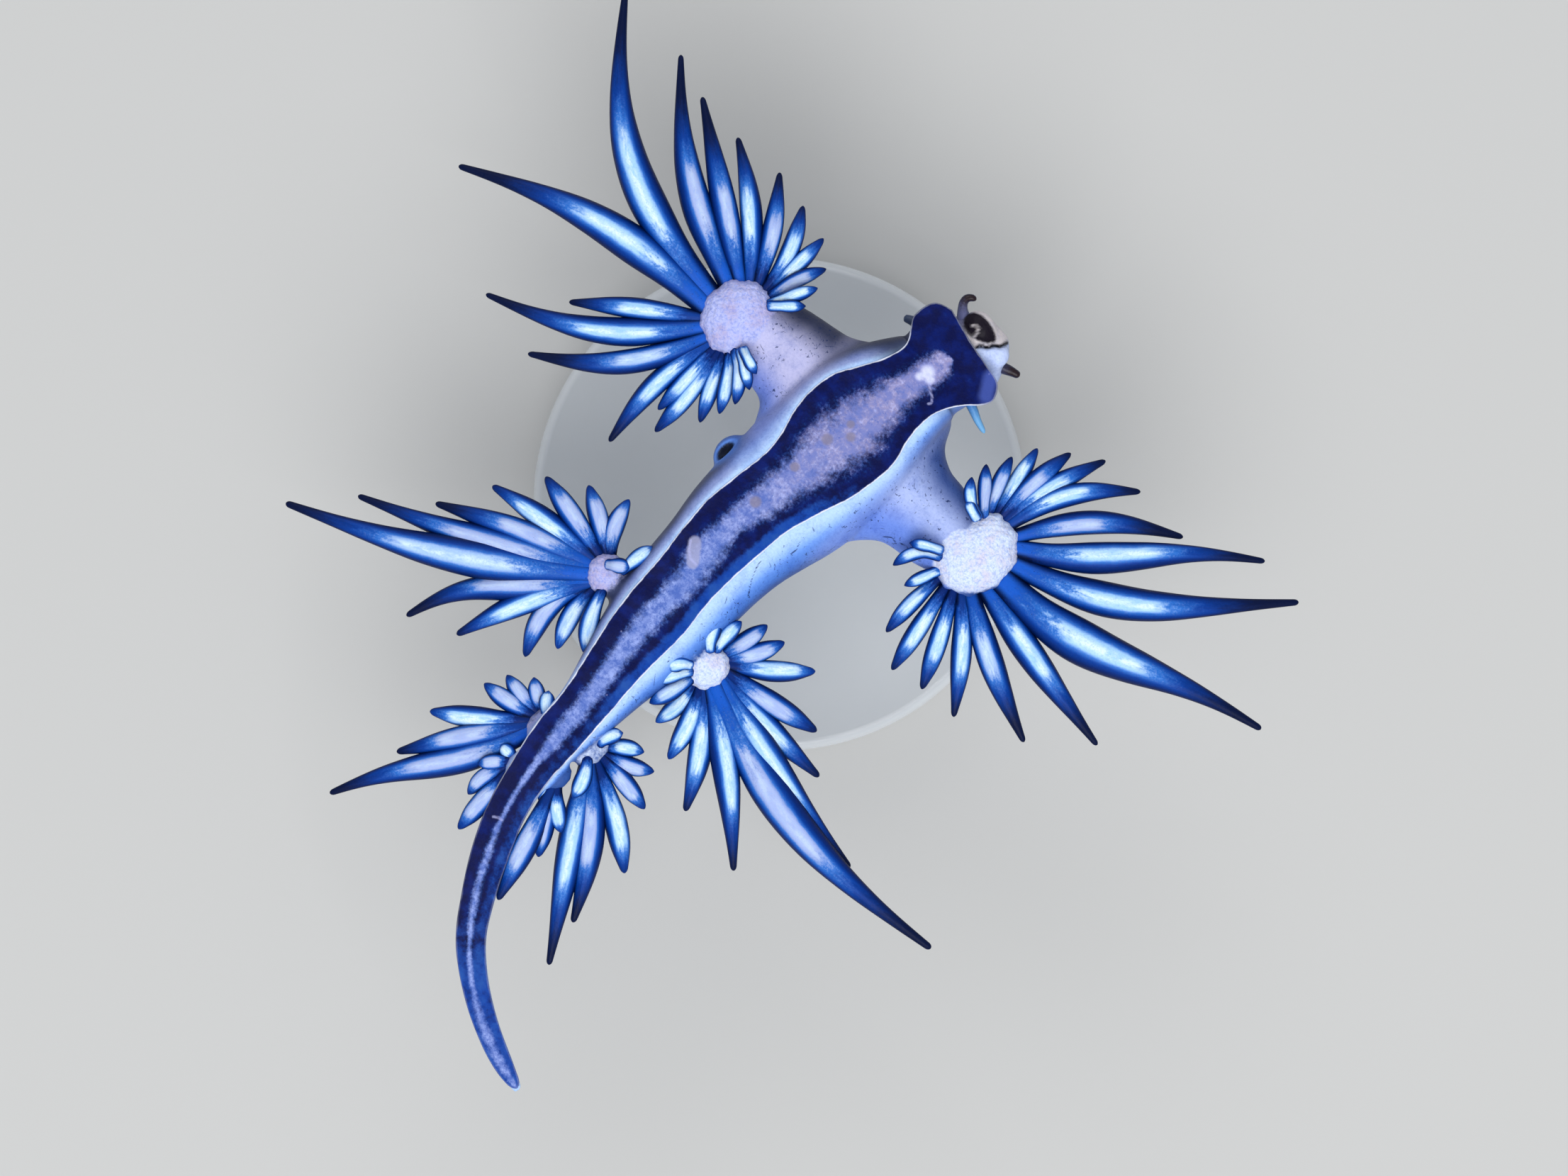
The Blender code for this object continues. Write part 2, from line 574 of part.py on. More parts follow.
def keep_largest(target):
    """Clean the mesh and keep only its largest closed surface."""
    work = bmesh.new()
    work.from_mesh(target.data)
    bmesh.ops.triangulate(work, faces=work.faces)
    bmesh.ops.dissolve_degenerate(work, dist=0.000004, edges=work.edges)
    bmesh.ops.remove_doubles(work, verts=work.verts, dist=0.000004)
    bmesh.ops.triangulate(work, faces=work.faces)
    unseen = set(work.faces)
    islands = []
    while unseen:
        stack = [unseen.pop()]
        island = []
        while stack:
            face = stack.pop()
            island.append(face)
            for edge in face.edges:
                for other in edge.link_faces:
                    if other in unseen:
                        unseen.remove(other)
                        stack.append(other)
        islands.append(island)
    islands.sort(key=enclosed, reverse=True)
    for island in islands[1:]:
        bmesh.ops.delete(work, geom=island, context="FACES")
    loose = [v for v in work.verts if not v.link_faces]
    bmesh.ops.delete(work, geom=loose, context="VERTS")
    work.to_mesh(target.data)
    work.free()


def enclosed(island):
    """Volume inside a closed set of triangles."""
    total = 0.0
    for face in island:
        a, b, c = (loop.vert.co for loop in face.loops)
        total += a.dot(b.cross(c)) / 6
    return abs(total)


def finish_node(target, origin, finish, parent):
    """Give a node its own origin, material and parent."""
    keep_largest(target)
    shift = np.array(origin) * MM
    for vertex in target.data.vertices:
        vertex.co = np.array(vertex.co) - shift
    target.location = shift
    target.parent = parent
    target.data.materials.clear()
    target.data.materials.append(make_material(target.name + "_finish", finish))
    target.data.name = target.name


def build_node(name, parts, cuts, origin, finish, parent):
    """A node fused from parts, less the cuts."""
    node = make_object(name, parts[0])
    if len(parts) > 1:
        combine(node, parts[1:], "UNION")
    if cuts:
        combine(node, cuts, "DIFFERENCE")
    finish_node(node, origin, finish, parent)
    return node


def mouth_slit():
    """A thin upright wall along the mouth line, as a cutter."""
    rings = []
    path = np.array(MOUTH_LINE)
    for i, (x, y) in enumerate(path):
        along = path[min(i + 1, len(path) - 1)] - path[max(i - 1, 0)]
        along /= np.linalg.norm(along)
        side = np.array((-along[1], along[0])) * MOUTH_WIDTH / 2
        low, high = MOUTH_BOTTOM, MOUTH_BOTTOM + 1.5
        rings.append([(x + side[0] * 1.6, y + side[1] * 1.6, high),
                      (x - side[0] * 1.6, y - side[1] * 1.6, high),
                      (x - side[0] * 0.5, y - side[1] * 0.5, low),
                      (x + side[0] * 0.5, y + side[1] * 0.5, low)])
    return loft(rings)


def build_head(parent):
    """Head with its lips and mouth slit, and the four feelers."""
    foot_cut = foot_loft(0.0, TORSO_SPLIT, with_front=True, grow=GAP)
    rings = [section(row[:2], row[2:4], row[4], row[5], 14, 2.2) for row in HEAD]
    shell = loft(rings)
    lips = [ball(*LIP_RIGHT, around=14, up=8), ball(*LIP_LEFT, around=14, up=8)]
    build_node("head", [shell, *lips], [foot_cut, mouth_slit()], (-0.8, -8.6, 13.2),
               PALE_LILAC, parent)
    grown = []
    for row in HEAD:
        right, left = np.array(row[:2]), np.array(row[2:4])
        out = (right - left) / np.linalg.norm(right - left) * FEELER_GAP
        grown.append(section(right + out, left - out, row[4] + FEELER_GAP,
                             row[5] - FEELER_GAP, 14, 2.2))
    tip = [(x, y - FEELER_GAP, z) for x, y, z in grown[-1]]
    head_cut = loft([*grown, tip])
    lip_cuts = [ball(middle, [r + FEELER_GAP for r in radii], 14, 8)
                for middle, radii in (LIP_RIGHT, LIP_LEFT)]
    feelers = {
        "oral_tentacle_right": (ORAL_RIGHT, DARK_LIP),
        "oral_tentacle_left": (ORAL_LEFT, DARK_LIP),
        "rhinophore_right": (RHINOPHORE_RIGHT, CYAN),
        "rhinophore_left": (RHINOPHORE_LEFT, CYAN),
    }
    for name, (path, finish) in feelers.items():
        build_node(name, [tube(path)], [head_cut, *lip_cuts, foot_cut], path[1][:3], finish,
                   parent)


def build_body(parent):
    """Foot, torso with its genital papilla, tail and arms, each in its lengths."""
    foot_cut = foot_loft(0.0, TORSO_SPLIT, with_front=True, grow=GAP)
    rear_foot_cut = foot_loft(TORSO_SPLIT, TORSO_END, grow=GAP)
    build_node("foot_front", [foot_loft(0.0, TORSO_SPLIT - GAP / 2, with_front=True)], [],
               (0.0, -3.0, 14.6), NAVY, parent)
    build_node("foot_rear", [foot_loft(TORSO_SPLIT + GAP / 2, TORSO_END - GAP / 2)], [],
               (0.3, 5.5, 14.6), NAVY, parent)
    papilla = ball(*PAPILLA, around=12, up=8)
    pit = ball(*PAPILLA_PIT, around=10, up=6)
    build_node("torso_front", [flesh_loft(HEAD_END, TORSO_SPLIT - GAP / 2), papilla],
               [foot_cut, rear_foot_cut, pit], (0.0, -2.5, 13.0), SILVER_BLUE, parent)
    build_node("torso_rear", [flesh_loft(TORSO_SPLIT + GAP / 2, TORSO_END - GAP / 2)],
               [foot_cut, rear_foot_cut], (0.2, 5.5, 13.2), SILVER_BLUE, parent)
    build_node("tail_base", [tail_loft(TORSO_END + GAP / 2, TAIL_SPLIT - GAP / 2)], [],
               (-0.6, 13.0, 14.0), NAVY, parent)
    build_node("tail_tip", [tail_loft(TAIL_SPLIT + GAP / 2, BODY_LENGTH)], [],
               (-4.8, 20.0, 13.8), NAVY, parent)
    torso_cut = flesh_loft(HEAD_END, TORSO_END, grow=GAP)
    build_node("arm_right", [rows_loft(ARM_RIGHT)], [torso_cut, foot_cut], (3.2, -4.0, 12.95),
               SILVER_BLUE, parent)
    build_node("arm_left", [rows_loft(ARM_LEFT)], [torso_cut, foot_cut], (-3.6, -3.5, 12.95),
               SILVER_BLUE, parent)


def build_cerata(parent):
    """The eight clusters, each a pad with its cerata."""
    body_cuts = [
        flesh_loft(HEAD_END, TORSO_END, grow=GAP),
        foot_loft(0.0, TORSO_END, with_front=True, grow=GAP),
        tail_loft(TORSO_END - GAP, BODY_LENGTH, grow=GAP),
        rows_loft(ARM_RIGHT, GAP),
        rows_loft(ARM_LEFT, GAP),
    ]
    for place, pad in PADS.items():
        x, y, rim_x, rim_y, level, height = pad
        around = 16 if rim_x > 1 else 12
        middle = (x, y, level)
        parts = [ball(middle, (rim_x, rim_y, height), around, 8, power=2.6)]
        parts += [ceras(pad, Ceras(*entry), i) for i, entry in enumerate(CERATA[place])]
        build_node("cerata_" + place, parts, body_cuts, middle, CERATA_BLUE, parent)


def build_stand(parent):
    """A round base and one upright rod, which ends under the torso."""
    row, _, _ = body_at(7.0)
    under = row[5] - row[6]
    build_node("stand_base",
               [cylinder((0, 0), BASE_RADIUS, 0.0, BASE_HEIGHT, 64, BASE_CHAMFER)], [],
               (0, 0, 0), ACRYLIC, parent)
    build_node("stand_rod",
               [cylinder((0, 0), ROD_RADIUS, BASE_HEIGHT + GAP, under - GAP, 24)], [],
               (0, 0, BASE_HEIGHT), ACRYLIC, parent)


def main():
    """Build the model."""
    clear_scene()
    model = bpy.data.objects.new("model", None)
    bpy.context.scene.collection.objects.link(model)
    build_head(model)
    build_body(model)
    build_cerata(model)
    build_stand(model)


if __name__ == "__main__":
    main()
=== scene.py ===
"""The look of a blue sea dragon, Glaucus atlanticus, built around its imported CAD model.

The animal floats belly up, so the sole of its foot faces the camera, and a clear stand holds it.
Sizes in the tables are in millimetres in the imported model's frame: +Z is up, the head points to -Y
and +X is the animal's right. Shapes are made at that size and brought to metres at the end.
"""

import logging
import math
from collections.abc import Callable, Sequence
from dataclasses import dataclass, field
from enum import Enum
from typing import NamedTuple

import bmesh
import bpy
import numpy as np
from mathutils import Matrix


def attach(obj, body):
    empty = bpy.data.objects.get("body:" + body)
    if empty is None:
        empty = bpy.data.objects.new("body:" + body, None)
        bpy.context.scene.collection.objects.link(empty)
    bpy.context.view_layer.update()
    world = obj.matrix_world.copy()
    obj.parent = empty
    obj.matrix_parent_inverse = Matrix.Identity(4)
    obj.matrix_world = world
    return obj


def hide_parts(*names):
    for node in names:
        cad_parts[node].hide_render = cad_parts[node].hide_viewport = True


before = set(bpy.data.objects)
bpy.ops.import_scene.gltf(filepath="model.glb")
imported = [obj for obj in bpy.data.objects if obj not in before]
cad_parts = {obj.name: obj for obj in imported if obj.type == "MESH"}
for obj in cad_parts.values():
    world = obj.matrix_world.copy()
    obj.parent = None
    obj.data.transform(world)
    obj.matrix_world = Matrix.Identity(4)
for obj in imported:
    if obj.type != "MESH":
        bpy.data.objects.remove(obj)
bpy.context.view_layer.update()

LOG = logging.getLogger("sea_dragon")
MM = 0.001
BODY_NAME = "root"
# How many points are compared with a line at a time
CHUNK = 20000
# Moist flesh: its own and the water film's refraction, the film's roughness, and how far light
# goes through it, by colour and in millimetres
FLESH_IOR = 1.38
WATER_IOR = 1.33
FILM_ROUGHNESS = 0.16
GLOW_REACH = (0.5, 0.7, 1.0)
GLOW_DEPTH = 0.35
ACRYLIC_IOR = 1.49

Colour = tuple[float, float, float]
Array = np.ndarray
Rows = Sequence[Sequence[float]]
Mesh = bpy.types.Mesh
Thing = bpy.types.Object
Material = bpy.types.Material
Node = bpy.types.Node
Socket = bpy.types.NodeSocket
Feeds = dict[str | int, object]

# Body stations from the neck to the tip of the tail. Columns: midline x and y, half width of the
# foot, reach of the right and of the left flank from the midline, level of the sole, depth to
# the back.
BODY = (
    (-0.56, -7.10, 1.34, 1.75, 1.80, 14.90, 2.70),
    (-0.33, -6.10, 1.38, 2.15, 2.15, 14.95, 3.05),
    (-0.12, -5.10, 1.67, 2.45, 2.55, 15.00, 3.35),
    (0.01, -4.20, 2.00, 2.59, 2.80, 15.00, 3.50),
    (0.03, -3.30, 2.03, 2.62, 2.95, 15.00, 3.55),
    (0.00, -2.00, 1.80, 2.65, 2.95, 15.00, 3.55),
    (0.10, -0.90, 1.52, 2.60, 2.95, 15.00, 3.50),
    (0.34, 0.50, 1.39, 2.30, 2.87, 15.00, 3.40),
    (0.46, 1.90, 1.40, 2.05, 2.70, 15.00, 3.20),
    (0.43, 3.30, 1.30, 1.82, 2.54, 14.97, 3.05),
    (0.32, 4.70, 1.22, 1.78, 2.42, 14.93, 2.95),
    (0.18, 6.10, 1.26, 1.72, 2.22, 14.90, 2.80),
    (0.06, 7.50, 1.15, 1.48, 2.10, 14.87, 2.60),
    (-0.13, 8.90, 1.02, 1.20, 1.75, 14.83, 2.35),
    (-0.36, 10.40, 0.92, 0.98, 1.38, 14.78, 2.10),
    (-0.49, 11.95, 0.90, 0.92, 1.06, 14.72, 1.85),
    (-0.75, 13.70, 0.76, 0.76, 0.80, 14.62, 1.60),
    (-1.12, 15.10, 0.73, 0.73, 0.73, 14.52, 1.45),
    (-1.77, 16.55, 0.71, 0.71, 0.71, 14.44, 1.35),
    (-2.69, 18.15, 0.62, 0.62, 0.62, 14.35, 1.20),
    (-3.55, 19.35, 0.56, 0.56, 0.56, 14.28, 1.10),
    (-4.80, 20.38, 0.50, 0.50, 0.50, 14.20, 1.00),
    (-6.35, 21.25, 0.44, 0.44, 0.44, 14.12, 0.85),
    (-7.80, 21.80, 0.35, 0.35, 0.35, 14.04, 0.70),
    (-9.00, 22.10, 0.12, 0.12, 0.12, 13.96, 0.24),
)
# Front of the foot, from its front edge back to the neck: right end x and y, left end x and y.
FOOT_FRONT = (
    (0.55, -9.38, -0.10, -9.20),
    (0.95, -9.26, -1.00, -9.00),
    (1.22, -9.06, -1.85, -8.84),
    (1.36, -8.68, -2.50, -8.70),
    (1.38, -8.42, -2.76, -8.44),
    (1.36, -8.18, -2.87, -8.14),
    (1.22, -7.94, -2.80, -7.86),
    (1.08, -7.74, -2.62, -7.60),
    (0.95, -7.56, -2.36, -7.34),
)
FOOT_FRONT_LEVEL = 14.85
# Head under the foot's front, from the neck to the snout: right x, y, left x, y, top, bottom.
HEAD = (
    (1.05, -6.90, -2.18, -6.62, 14.46, 12.20),
    (1.08, -7.46, -2.34, -7.30, 14.42, 12.15),
    (1.10, -7.95, -2.45, -7.85, 14.40, 12.05),
    (0.85, -8.65, -2.55, -8.60, 14.40, 12.00),
    (0.42, -9.22, -2.42, -9.06, 14.45, 12.10),
    (0.08, -9.66, -2.22, -9.50, 14.38, 12.40),
    (-0.30, -10.02, -1.98, -9.90, 14.10, 12.75),
    (-0.65, -10.24, -1.62, -10.20, 13.75, 13.10),
)
# Lips: middle x, y, z and radii
LIP_RIGHT = ((-0.60, -9.70, 14.05), (0.66, 0.55, 0.48))
LIP_LEFT = ((-1.82, -9.38, 14.02), (0.44, 0.52, 0.42))
# The mouth slit between the lips, the dark patch of the right lip and its pale inner fold
MOUTH_LINE = ((-1.06, -9.06), (-1.12, -9.24), (-1.30, -9.31), (-1.40, -9.47), (-1.46, -9.60),
              (-1.60, -9.68), (-1.68, -9.82), (-1.72, -10.04))
LIP_PATCH = ((0.06, -9.68), (-0.09, -9.92), (-0.37, -10.04), (-0.70, -10.04), (-1.00, -9.98),
             (-1.28, -9.86), (-1.38, -9.72), (-1.22, -9.46), (-1.01, -9.34), (-0.80, -9.24),
             (-0.50, -9.20), (-0.22, -9.24), (-0.02, -9.44))
LIP_FOLD = ((-0.36, -9.50), (-0.44, -9.61), (-0.60, -9.61), (-0.69, -9.46), (-0.69, -9.31),
            (-0.80, -9.22), (-0.98, -9.24))
# Feelers as x, y, z, radius from root to tip
ORAL_RIGHT = ((-0.16, -9.32, 13.74, 0.30), (0.10, -9.55, 13.78, 0.25), (0.31, -9.72, 13.82, 0.19),
              (0.45, -9.90, 13.85, 0.165), (0.48, -10.09, 13.86, 0.155),
              (0.38, -10.24, 13.86, 0.135), (0.20, -10.32, 13.86, 0.115))
ORAL_LEFT = ((-1.90, -9.10, 13.55, 0.22), (-2.38, -9.32, 13.56, 0.21),
             (-2.66, -9.43, 13.58, 0.17), (-2.92, -9.50, 13.60, 0.13))
RHINOPHORE_RIGHT = ((0.50, -8.46, 12.70, 0.24), (1.08, -8.24, 12.66, 0.22),
                    (1.42, -8.10, 12.64, 0.17), (1.62, -8.00, 12.62, 0.13))
RHINOPHORE_LEFT = ((-1.90, -7.66, 12.90, 0.20), (-2.55, -7.46, 12.88, 0.18),
                   (-3.01, -7.28, 12.84, 0.14), (-3.52, -7.14, 12.80, 0.09))
# Genital papilla on the right flank, with its pit
PAPILLA = ((2.34, 0.05, 13.08), (0.76, 0.82, 0.64))
PIT_MOUTH = ((2.66, 0.16, 13.52), (0.24, 0.42, 0.42))
# Thin dark creases that the photo shows in the left flank and arm
# Dark lines along these creases are painted shade of the folds
CREASES = (
    ((-0.98, 1.72), (-1.10, 1.95), (-1.18, 2.35), (-1.38, 2.78), (-1.72, 3.30)),
    ((-3.62, -1.78), (-3.86, -1.98), (-4.08, -1.96)),
    ((-4.24, -2.06), (-4.46, -2.14), (-4.60, -2.14)),
    ((-1.62, 0.55), (-1.74, 0.86), (-1.70, 1.10)),
)
# Front arms from inside the body out to the pad: front x, y, rear x, y, middle level, thickness
ARM_RIGHT = (
    (1.05, -7.10, 1.40, 0.20, 12.95, 1.90),
    (1.62, -6.63, 2.30, -0.60, 12.95, 2.35),
    (2.41, -6.11, 2.75, -1.45, 12.90, 2.35),
    (3.10, -5.92, 3.10, -2.00, 12.86, 2.20),
    (3.80, -5.78, 3.65, -2.18, 12.80, 1.95),
    (4.60, -5.56, 4.50, -2.20, 12.75, 1.70),
)
ARM_LEFT = (
    (-1.60, -7.00, -1.60, 0.60, 12.95, 1.90),
    (-2.38, -6.55, -2.55, -0.30, 12.95, 2.40),
    (-2.90, -5.70, -3.07, -1.02, 12.90, 2.40),
    (-3.60, -5.28, -3.64, -1.56, 12.86, 2.25),
    (-4.25, -5.20, -4.21, -1.75, 12.80, 2.00),
    (-5.00, -5.16, -4.95, -1.86, 12.75, 1.75),
)
# Where each arm rises into its pad, in the same columns
ARM_END_RIGHT = ((5.60, -5.00, 5.55, -2.30, 12.92, 2.05),)
ARM_END_LEFT = ((-6.10, -5.20, -6.05, -2.20, 12.92, 2.08),)


class Pad(NamedTuple):
    """A low mound that carries a fan of cerata."""

    x: float
    y: float
    rim_x: float
    rim_y: float
    level: float
    height: float


class Ceras(NamedTuple):
    """One ceras: bearings of root and tip around its pad in degrees from +X, reach of the tip,
    sideways bow, rise over the flesh beside the pad, hook, and stoutness of its root half."""

    root: float
    tip: float
    reach: float
    bow: float
    lift: float = 0.0
    hook: float = 0.0
    girth: float = 1.0


PADS = {
    "right_1": Pad(5.85, -3.62, 1.45, 1.50, 12.95, 1.15),
    "left_1": Pad(-6.45, -3.80, 1.50, 1.72, 12.95, 1.18),
    "right_2": Pad(2.45, 6.45, 0.85, 0.80, 13.35, 0.88),
    "left_2": Pad(-2.50, 6.20, 0.85, 0.92, 13.35, 0.90),
    "right_3": Pad(0.25, 11.95, 0.50, 0.85, 13.62, 0.55),
    "left_3": Pad(-1.75, 11.35, 0.50, 0.80, 13.62, 0.55),
    "right_4": Pad(-0.15, 13.70, 0.38, 0.48, 14.15, 0.36),
    "left_4": Pad(-1.62, 12.95, 0.38, 0.60, 14.15, 0.36),
}
# The grainy patches on the front pads, read around their edges
PAD_PATCHES = {
    "right_1": ((7.04, -4.39), (6.82, -4.87), (6.50, -5.26), (6.09, -5.36), (5.69, -5.26),
                (5.33, -5.02), (5.20, -4.46), (5.05, -3.91), (4.90, -3.31), (4.81, -2.80),
                (4.75, -2.25), (5.15, -2.04), (5.60, -1.99), (6.16, -2.13), (6.59, -2.41),
                (6.98, -2.93), (7.03, -3.39), (7.03, -3.79)),
    "left_1": ((-5.42, -4.91), (-5.69, -5.45), (-6.27, -5.58), (-6.85, -5.46), (-7.36, -4.96),
               (-7.64, -4.43), (-7.70, -3.68), (-7.43, -2.94), (-6.91, -2.46), (-6.35, -2.30),
               (-5.75, -2.50), (-5.50, -3.05), (-5.45, -3.71), (-5.75, -4.11), (-5.77, -4.56)),
}
# Share of grain on the rear pads, which the photo shows smoother
PAD_GRAIN = {"right_3": 0.55, "left_3": 0.55, "right_4": 0.12, "left_4": 0.12}
CERATA = {
    "right_1": (
        (10, -25, 12.7, 0.13), (33, 17, 11.8, -0.07, 0, 0, 1.15), (-28, -32, 10.0, 0.07),
        (-50, -35, 8.3, 0.0), (-68, -44, 6.7, -0.05), (-78, -60, 5.6, -0.04),
        (-87, -74, 4.8, -0.08), (-95, -91, 4.3, -0.01), (-103, -105, 3.7, 0.06, 0.4),
        (-111, -114, 3.1, 0.0, 0.9), (-112, -125, 2.5, -0.01, 1.25), (47, 40, 6.3, -0.01),
        (59, 40, 9.4, 0.09), (80, 55, 7.9, 0.10), (88, 89, 6.6, -0.06),
        (95, 94, 4.5, 0.01), (104, 99, 5.2, 0.03), (112, 115, 4.1, -0.01),
        (119, 124, 3.6, 0.03, 0.4), (127, 133, 3.2, 0.08, 0.75), (138, 144, 2.7, 0.01, 1.15),
        (143, 153, 2.2, -0.03, 1.35),
    ),
    "left_1": (
        (-44, -35, 2.0, 0.05, 1.35), (-48, -41, 2.8, 0.13, 1.1), (-54, -51, 3.3, 0.01, 0.7),
        (-61, -65, 3.8, 0.04, 0.2), (-68, -75, 4.5, 0.0), (-75, -88, 5.1, 0.04),
        (-83, -99, 5.9, 0.05), (-92, -114, 6.5, 0.11), (-111, -130, 7.7, 0.09),
        (-124, -136, 10.7, -0.01, 0, -0.02), (-149, -143, 12.1, -0.085, 0, -0.01),
        (179, -166, 12.4, -0.04, 0, -0.022, 1.38), (148, 168, 8.4, -0.01, 0, 0, 1.2),
        (124, 150, 7.2, -0.03, 0, 0, 1.2), (108, 128, 6.1, 0.03), (98, 114, 5.4, 0.01),
        (88, 100, 5.3, 0.0), (75, 87, 4.4, -0.03), (69, 70, 2.9, -0.01, 0.5),
        (50, 54, 3.1, -0.17, 1.0), (39, 37, 2.5, -0.03, 1.35),
    ),
    "right_2": (
        (-122, -103, 2.0, 0.01, 1.0), (-71, -60, 2.9, 0.10), (-60, -32, 3.4, -0.02),
        (-44, -12, 4.3, 0.0), (-9, 8, 5.4, -0.03), (13, 23, 6.9, -0.03), (29, 28, 9.7, 0.02),
        (43, 33, 12.2, 0.04), (67, 57, 7.6, -0.05, 0, 0.03), (79, 67, 6.0, -0.04),
        (94, 90, 4.3, -0.17), (109, 101, 3.3, -0.10), (120, 119, 3.0, -0.06, 0.6),
        (-30, -115, 0.9, 0.0, 0.95),
    ),
    "left_2": (
        (-58, -59, 1.8, 0.09, 0.95), (-71, -82, 2.1, 0.06, 0.6), (-83, -100, 2.7, -0.03, 0.2),
        (-92, -117, 3.0, -0.05), (-101, -137, 4.0, -0.04), (-118, -165, 4.7, -0.01),
        (-142, -179, 5.8, -0.02), (-168, 171, 9.1, -0.02), (163, 174, 13.3, -0.08),
        (137, 143, 7.6, 0.03), (118, 127, 5.4, 0.05), (103, 113, 3.7, 0.06),
        (93, 93, 2.8, 0.07), (82, 78, 2.5, 0.03, 0.5), (64, 61, 2.0, -0.05, 0.9),
        (42, 49, 1.5, -0.15, 1.05),
    ),
    "right_3": (
        (-84, -55, 1.2, 0.03, 0.5), (-63, -33, 1.7, 0.04), (-50, -7, 2.2, 0.05),
        (-15, 12, 2.6, 0.04), (5, 40, 4.2, 0.02), (57, 57, 5.5, -0.01),
        (80, 64, 8.3, 0.02, 0, 0.02),
    ),
    "left_3": (
        (-89, -105, 1.3, 0.08, 0.5), (-112, -137, 1.9, 0.06), (-134, -154, 2.4, -0.06),
        (-156, 177, 2.9, 0.02), (147, 150, 4.7, 0.04), (118, 129, 6.4, 0.06),
        (103, 124, 8.1, 0.0), (80, 113, 1.9, 0.08, 0.4),
    ),
    "right_4": (
        (-58, -5, 0.9, -0.01), (-13, 46, 1.4, -0.03), (58, 78, 2.1, -0.10), (79, 94, 3.2, 0.0),
    ),
    "left_4": (
        (79, 103, 1.2, -0.02), (120, 138, 2.0, -0.04), (104, 121, 3.0, -0.01),
        (96, 109, 5.0, 0.01),
    ),
}
# Outline of a ceras from root to tip: distance as a share of its length, then its width as a share
# of the widest for a slender one and for a leafy one
CERAS_OUTLINE = ((0.0, 0.55, 0.48), (0.15, 0.70, 0.62), (0.35, 1.0, 0.86), (0.53, 0.86, 1.0),
                 (0.70, 0.56, 0.86), (0.85, 0.33, 0.56), (0.95, 0.22, 0.34), (1.0, 0.17, 0.24))
LEAF_OUTLINE = ((0.0, 0.45), (0.3, 0.74), (0.58, 1.0), (0.80, 0.82), (0.93, 0.46), (1.0, 0.24))

# The sole's middle stripe: distance along the midline, offset to the animal's right, half width
SOLE_STRIPE = (
    (-1.05, 0.10, 0.0), (-0.75, 0.10, 0.36), (0.0, 0.05, 0.48), (1.0, 0.02, 0.48),
    (2.0, -0.07, 0.62), (3.0, -0.12, 0.82), (3.9, -0.06, 0.92), (5.2, 0.10, 0.74),
    (6.3, 0.12, 0.58), (7.7, 0.0, 0.50), (9.1, 0.12, 0.34), (10.5, 0.05, 0.50),
    (11.9, -0.07, 0.42), (13.3, 0.08, 0.37), (14.7, 0.06, 0.33), (16.1, 0.03, 0.30),
    (17.6, 0.0, 0.27), (19.3, -0.03, 0.25), (20.2, 0.0, 0.13), (22.4, 0.02, 0.12),
    (24.0, 0.08, 0.18), (25.9, 0.08, 0.18), (27.3, 0.03, 0.13), (29.0, 0.12, 0.13),
    (30.7, 0.12, 0.26), (32.3, 0.05, 0.22), (33.4, 0.0, 0.06),
)


class Feeler(Enum):
    """The four feelers of the head, by the CAD node that each stands for."""

    ORAL_RIGHT = "oral_tentacle_right"
    ORAL_LEFT = "oral_tentacle_left"
    RHINOPHORE_RIGHT = "rhinophore_right"
    RHINOPHORE_LEFT = "rhinophore_left"


def ease(low: float, high: float, value: Array) -> Array:
    """Smooth step of value from 0 at low to 1 at high, also where high is below low."""
    t = np.clip((value - low) / (high - low), 0.0, 1.0)
    return t * t * (3 - 2 * t)


def smooth_through(knots: Sequence[float], values: Array, at: Array | float) -> Array:
    """Values on smooth curves through rows of values.

    Args:
        knots: position of each row, rising.
        values: one row of numbers for each knot.
        at: positions to read, one number or many.

    Returns:
        One row of numbers for each position.
    """
    knots = np.asarray(knots, float)
    values = np.asarray(values, float)
    slopes = np.gradient(values, knots, axis=0)
    at = np.asarray(at, float)
    i = np.clip(np.searchsorted(knots, at) - 1, 0, len(knots) - 2)
    span = knots[i + 1] - knots[i]
    t = (at - knots[i]) / span
    if values.ndim > 1:
        t, span = t[..., None], span[..., None]
    return ((2 * t**3 - 3 * t**2 + 1) * values[i] + (t**3 - 2 * t**2 + t) * span * slopes[i]
            + (3 * t**2 - 2 * t**3) * values[i + 1] + (t**3 - t**2) * span * slopes[i + 1])


def distance_to(points: Array, line: Rows, closed: bool = False) -> Array:
    """Distance in plan from each point to a line of straight pieces.

    Args:
        points: x and y of each point, one row each.
        line: the line's corners.
        closed: whether the last corner joins the first.

    Returns:
        One distance for each point.
    """
    corners = np.asarray(line, float)[:, :2]
    ends = np.roll(corners, -1, axis=0)
    if not closed:
        corners, ends = corners[:-1], ends[:-1]
    nearest = np.full(len(points), np.inf)
    for start, end in zip(corners, ends):
        along = end - start
        t = np.clip((points[:, :2] - start) @ along / max(along @ along, 1e-12), 0.0, 1.0)
        gap = np.linalg.norm(points[:, :2] - start - t[:, None] * along, axis=1)
        nearest = np.minimum(nearest, gap)
    return nearest


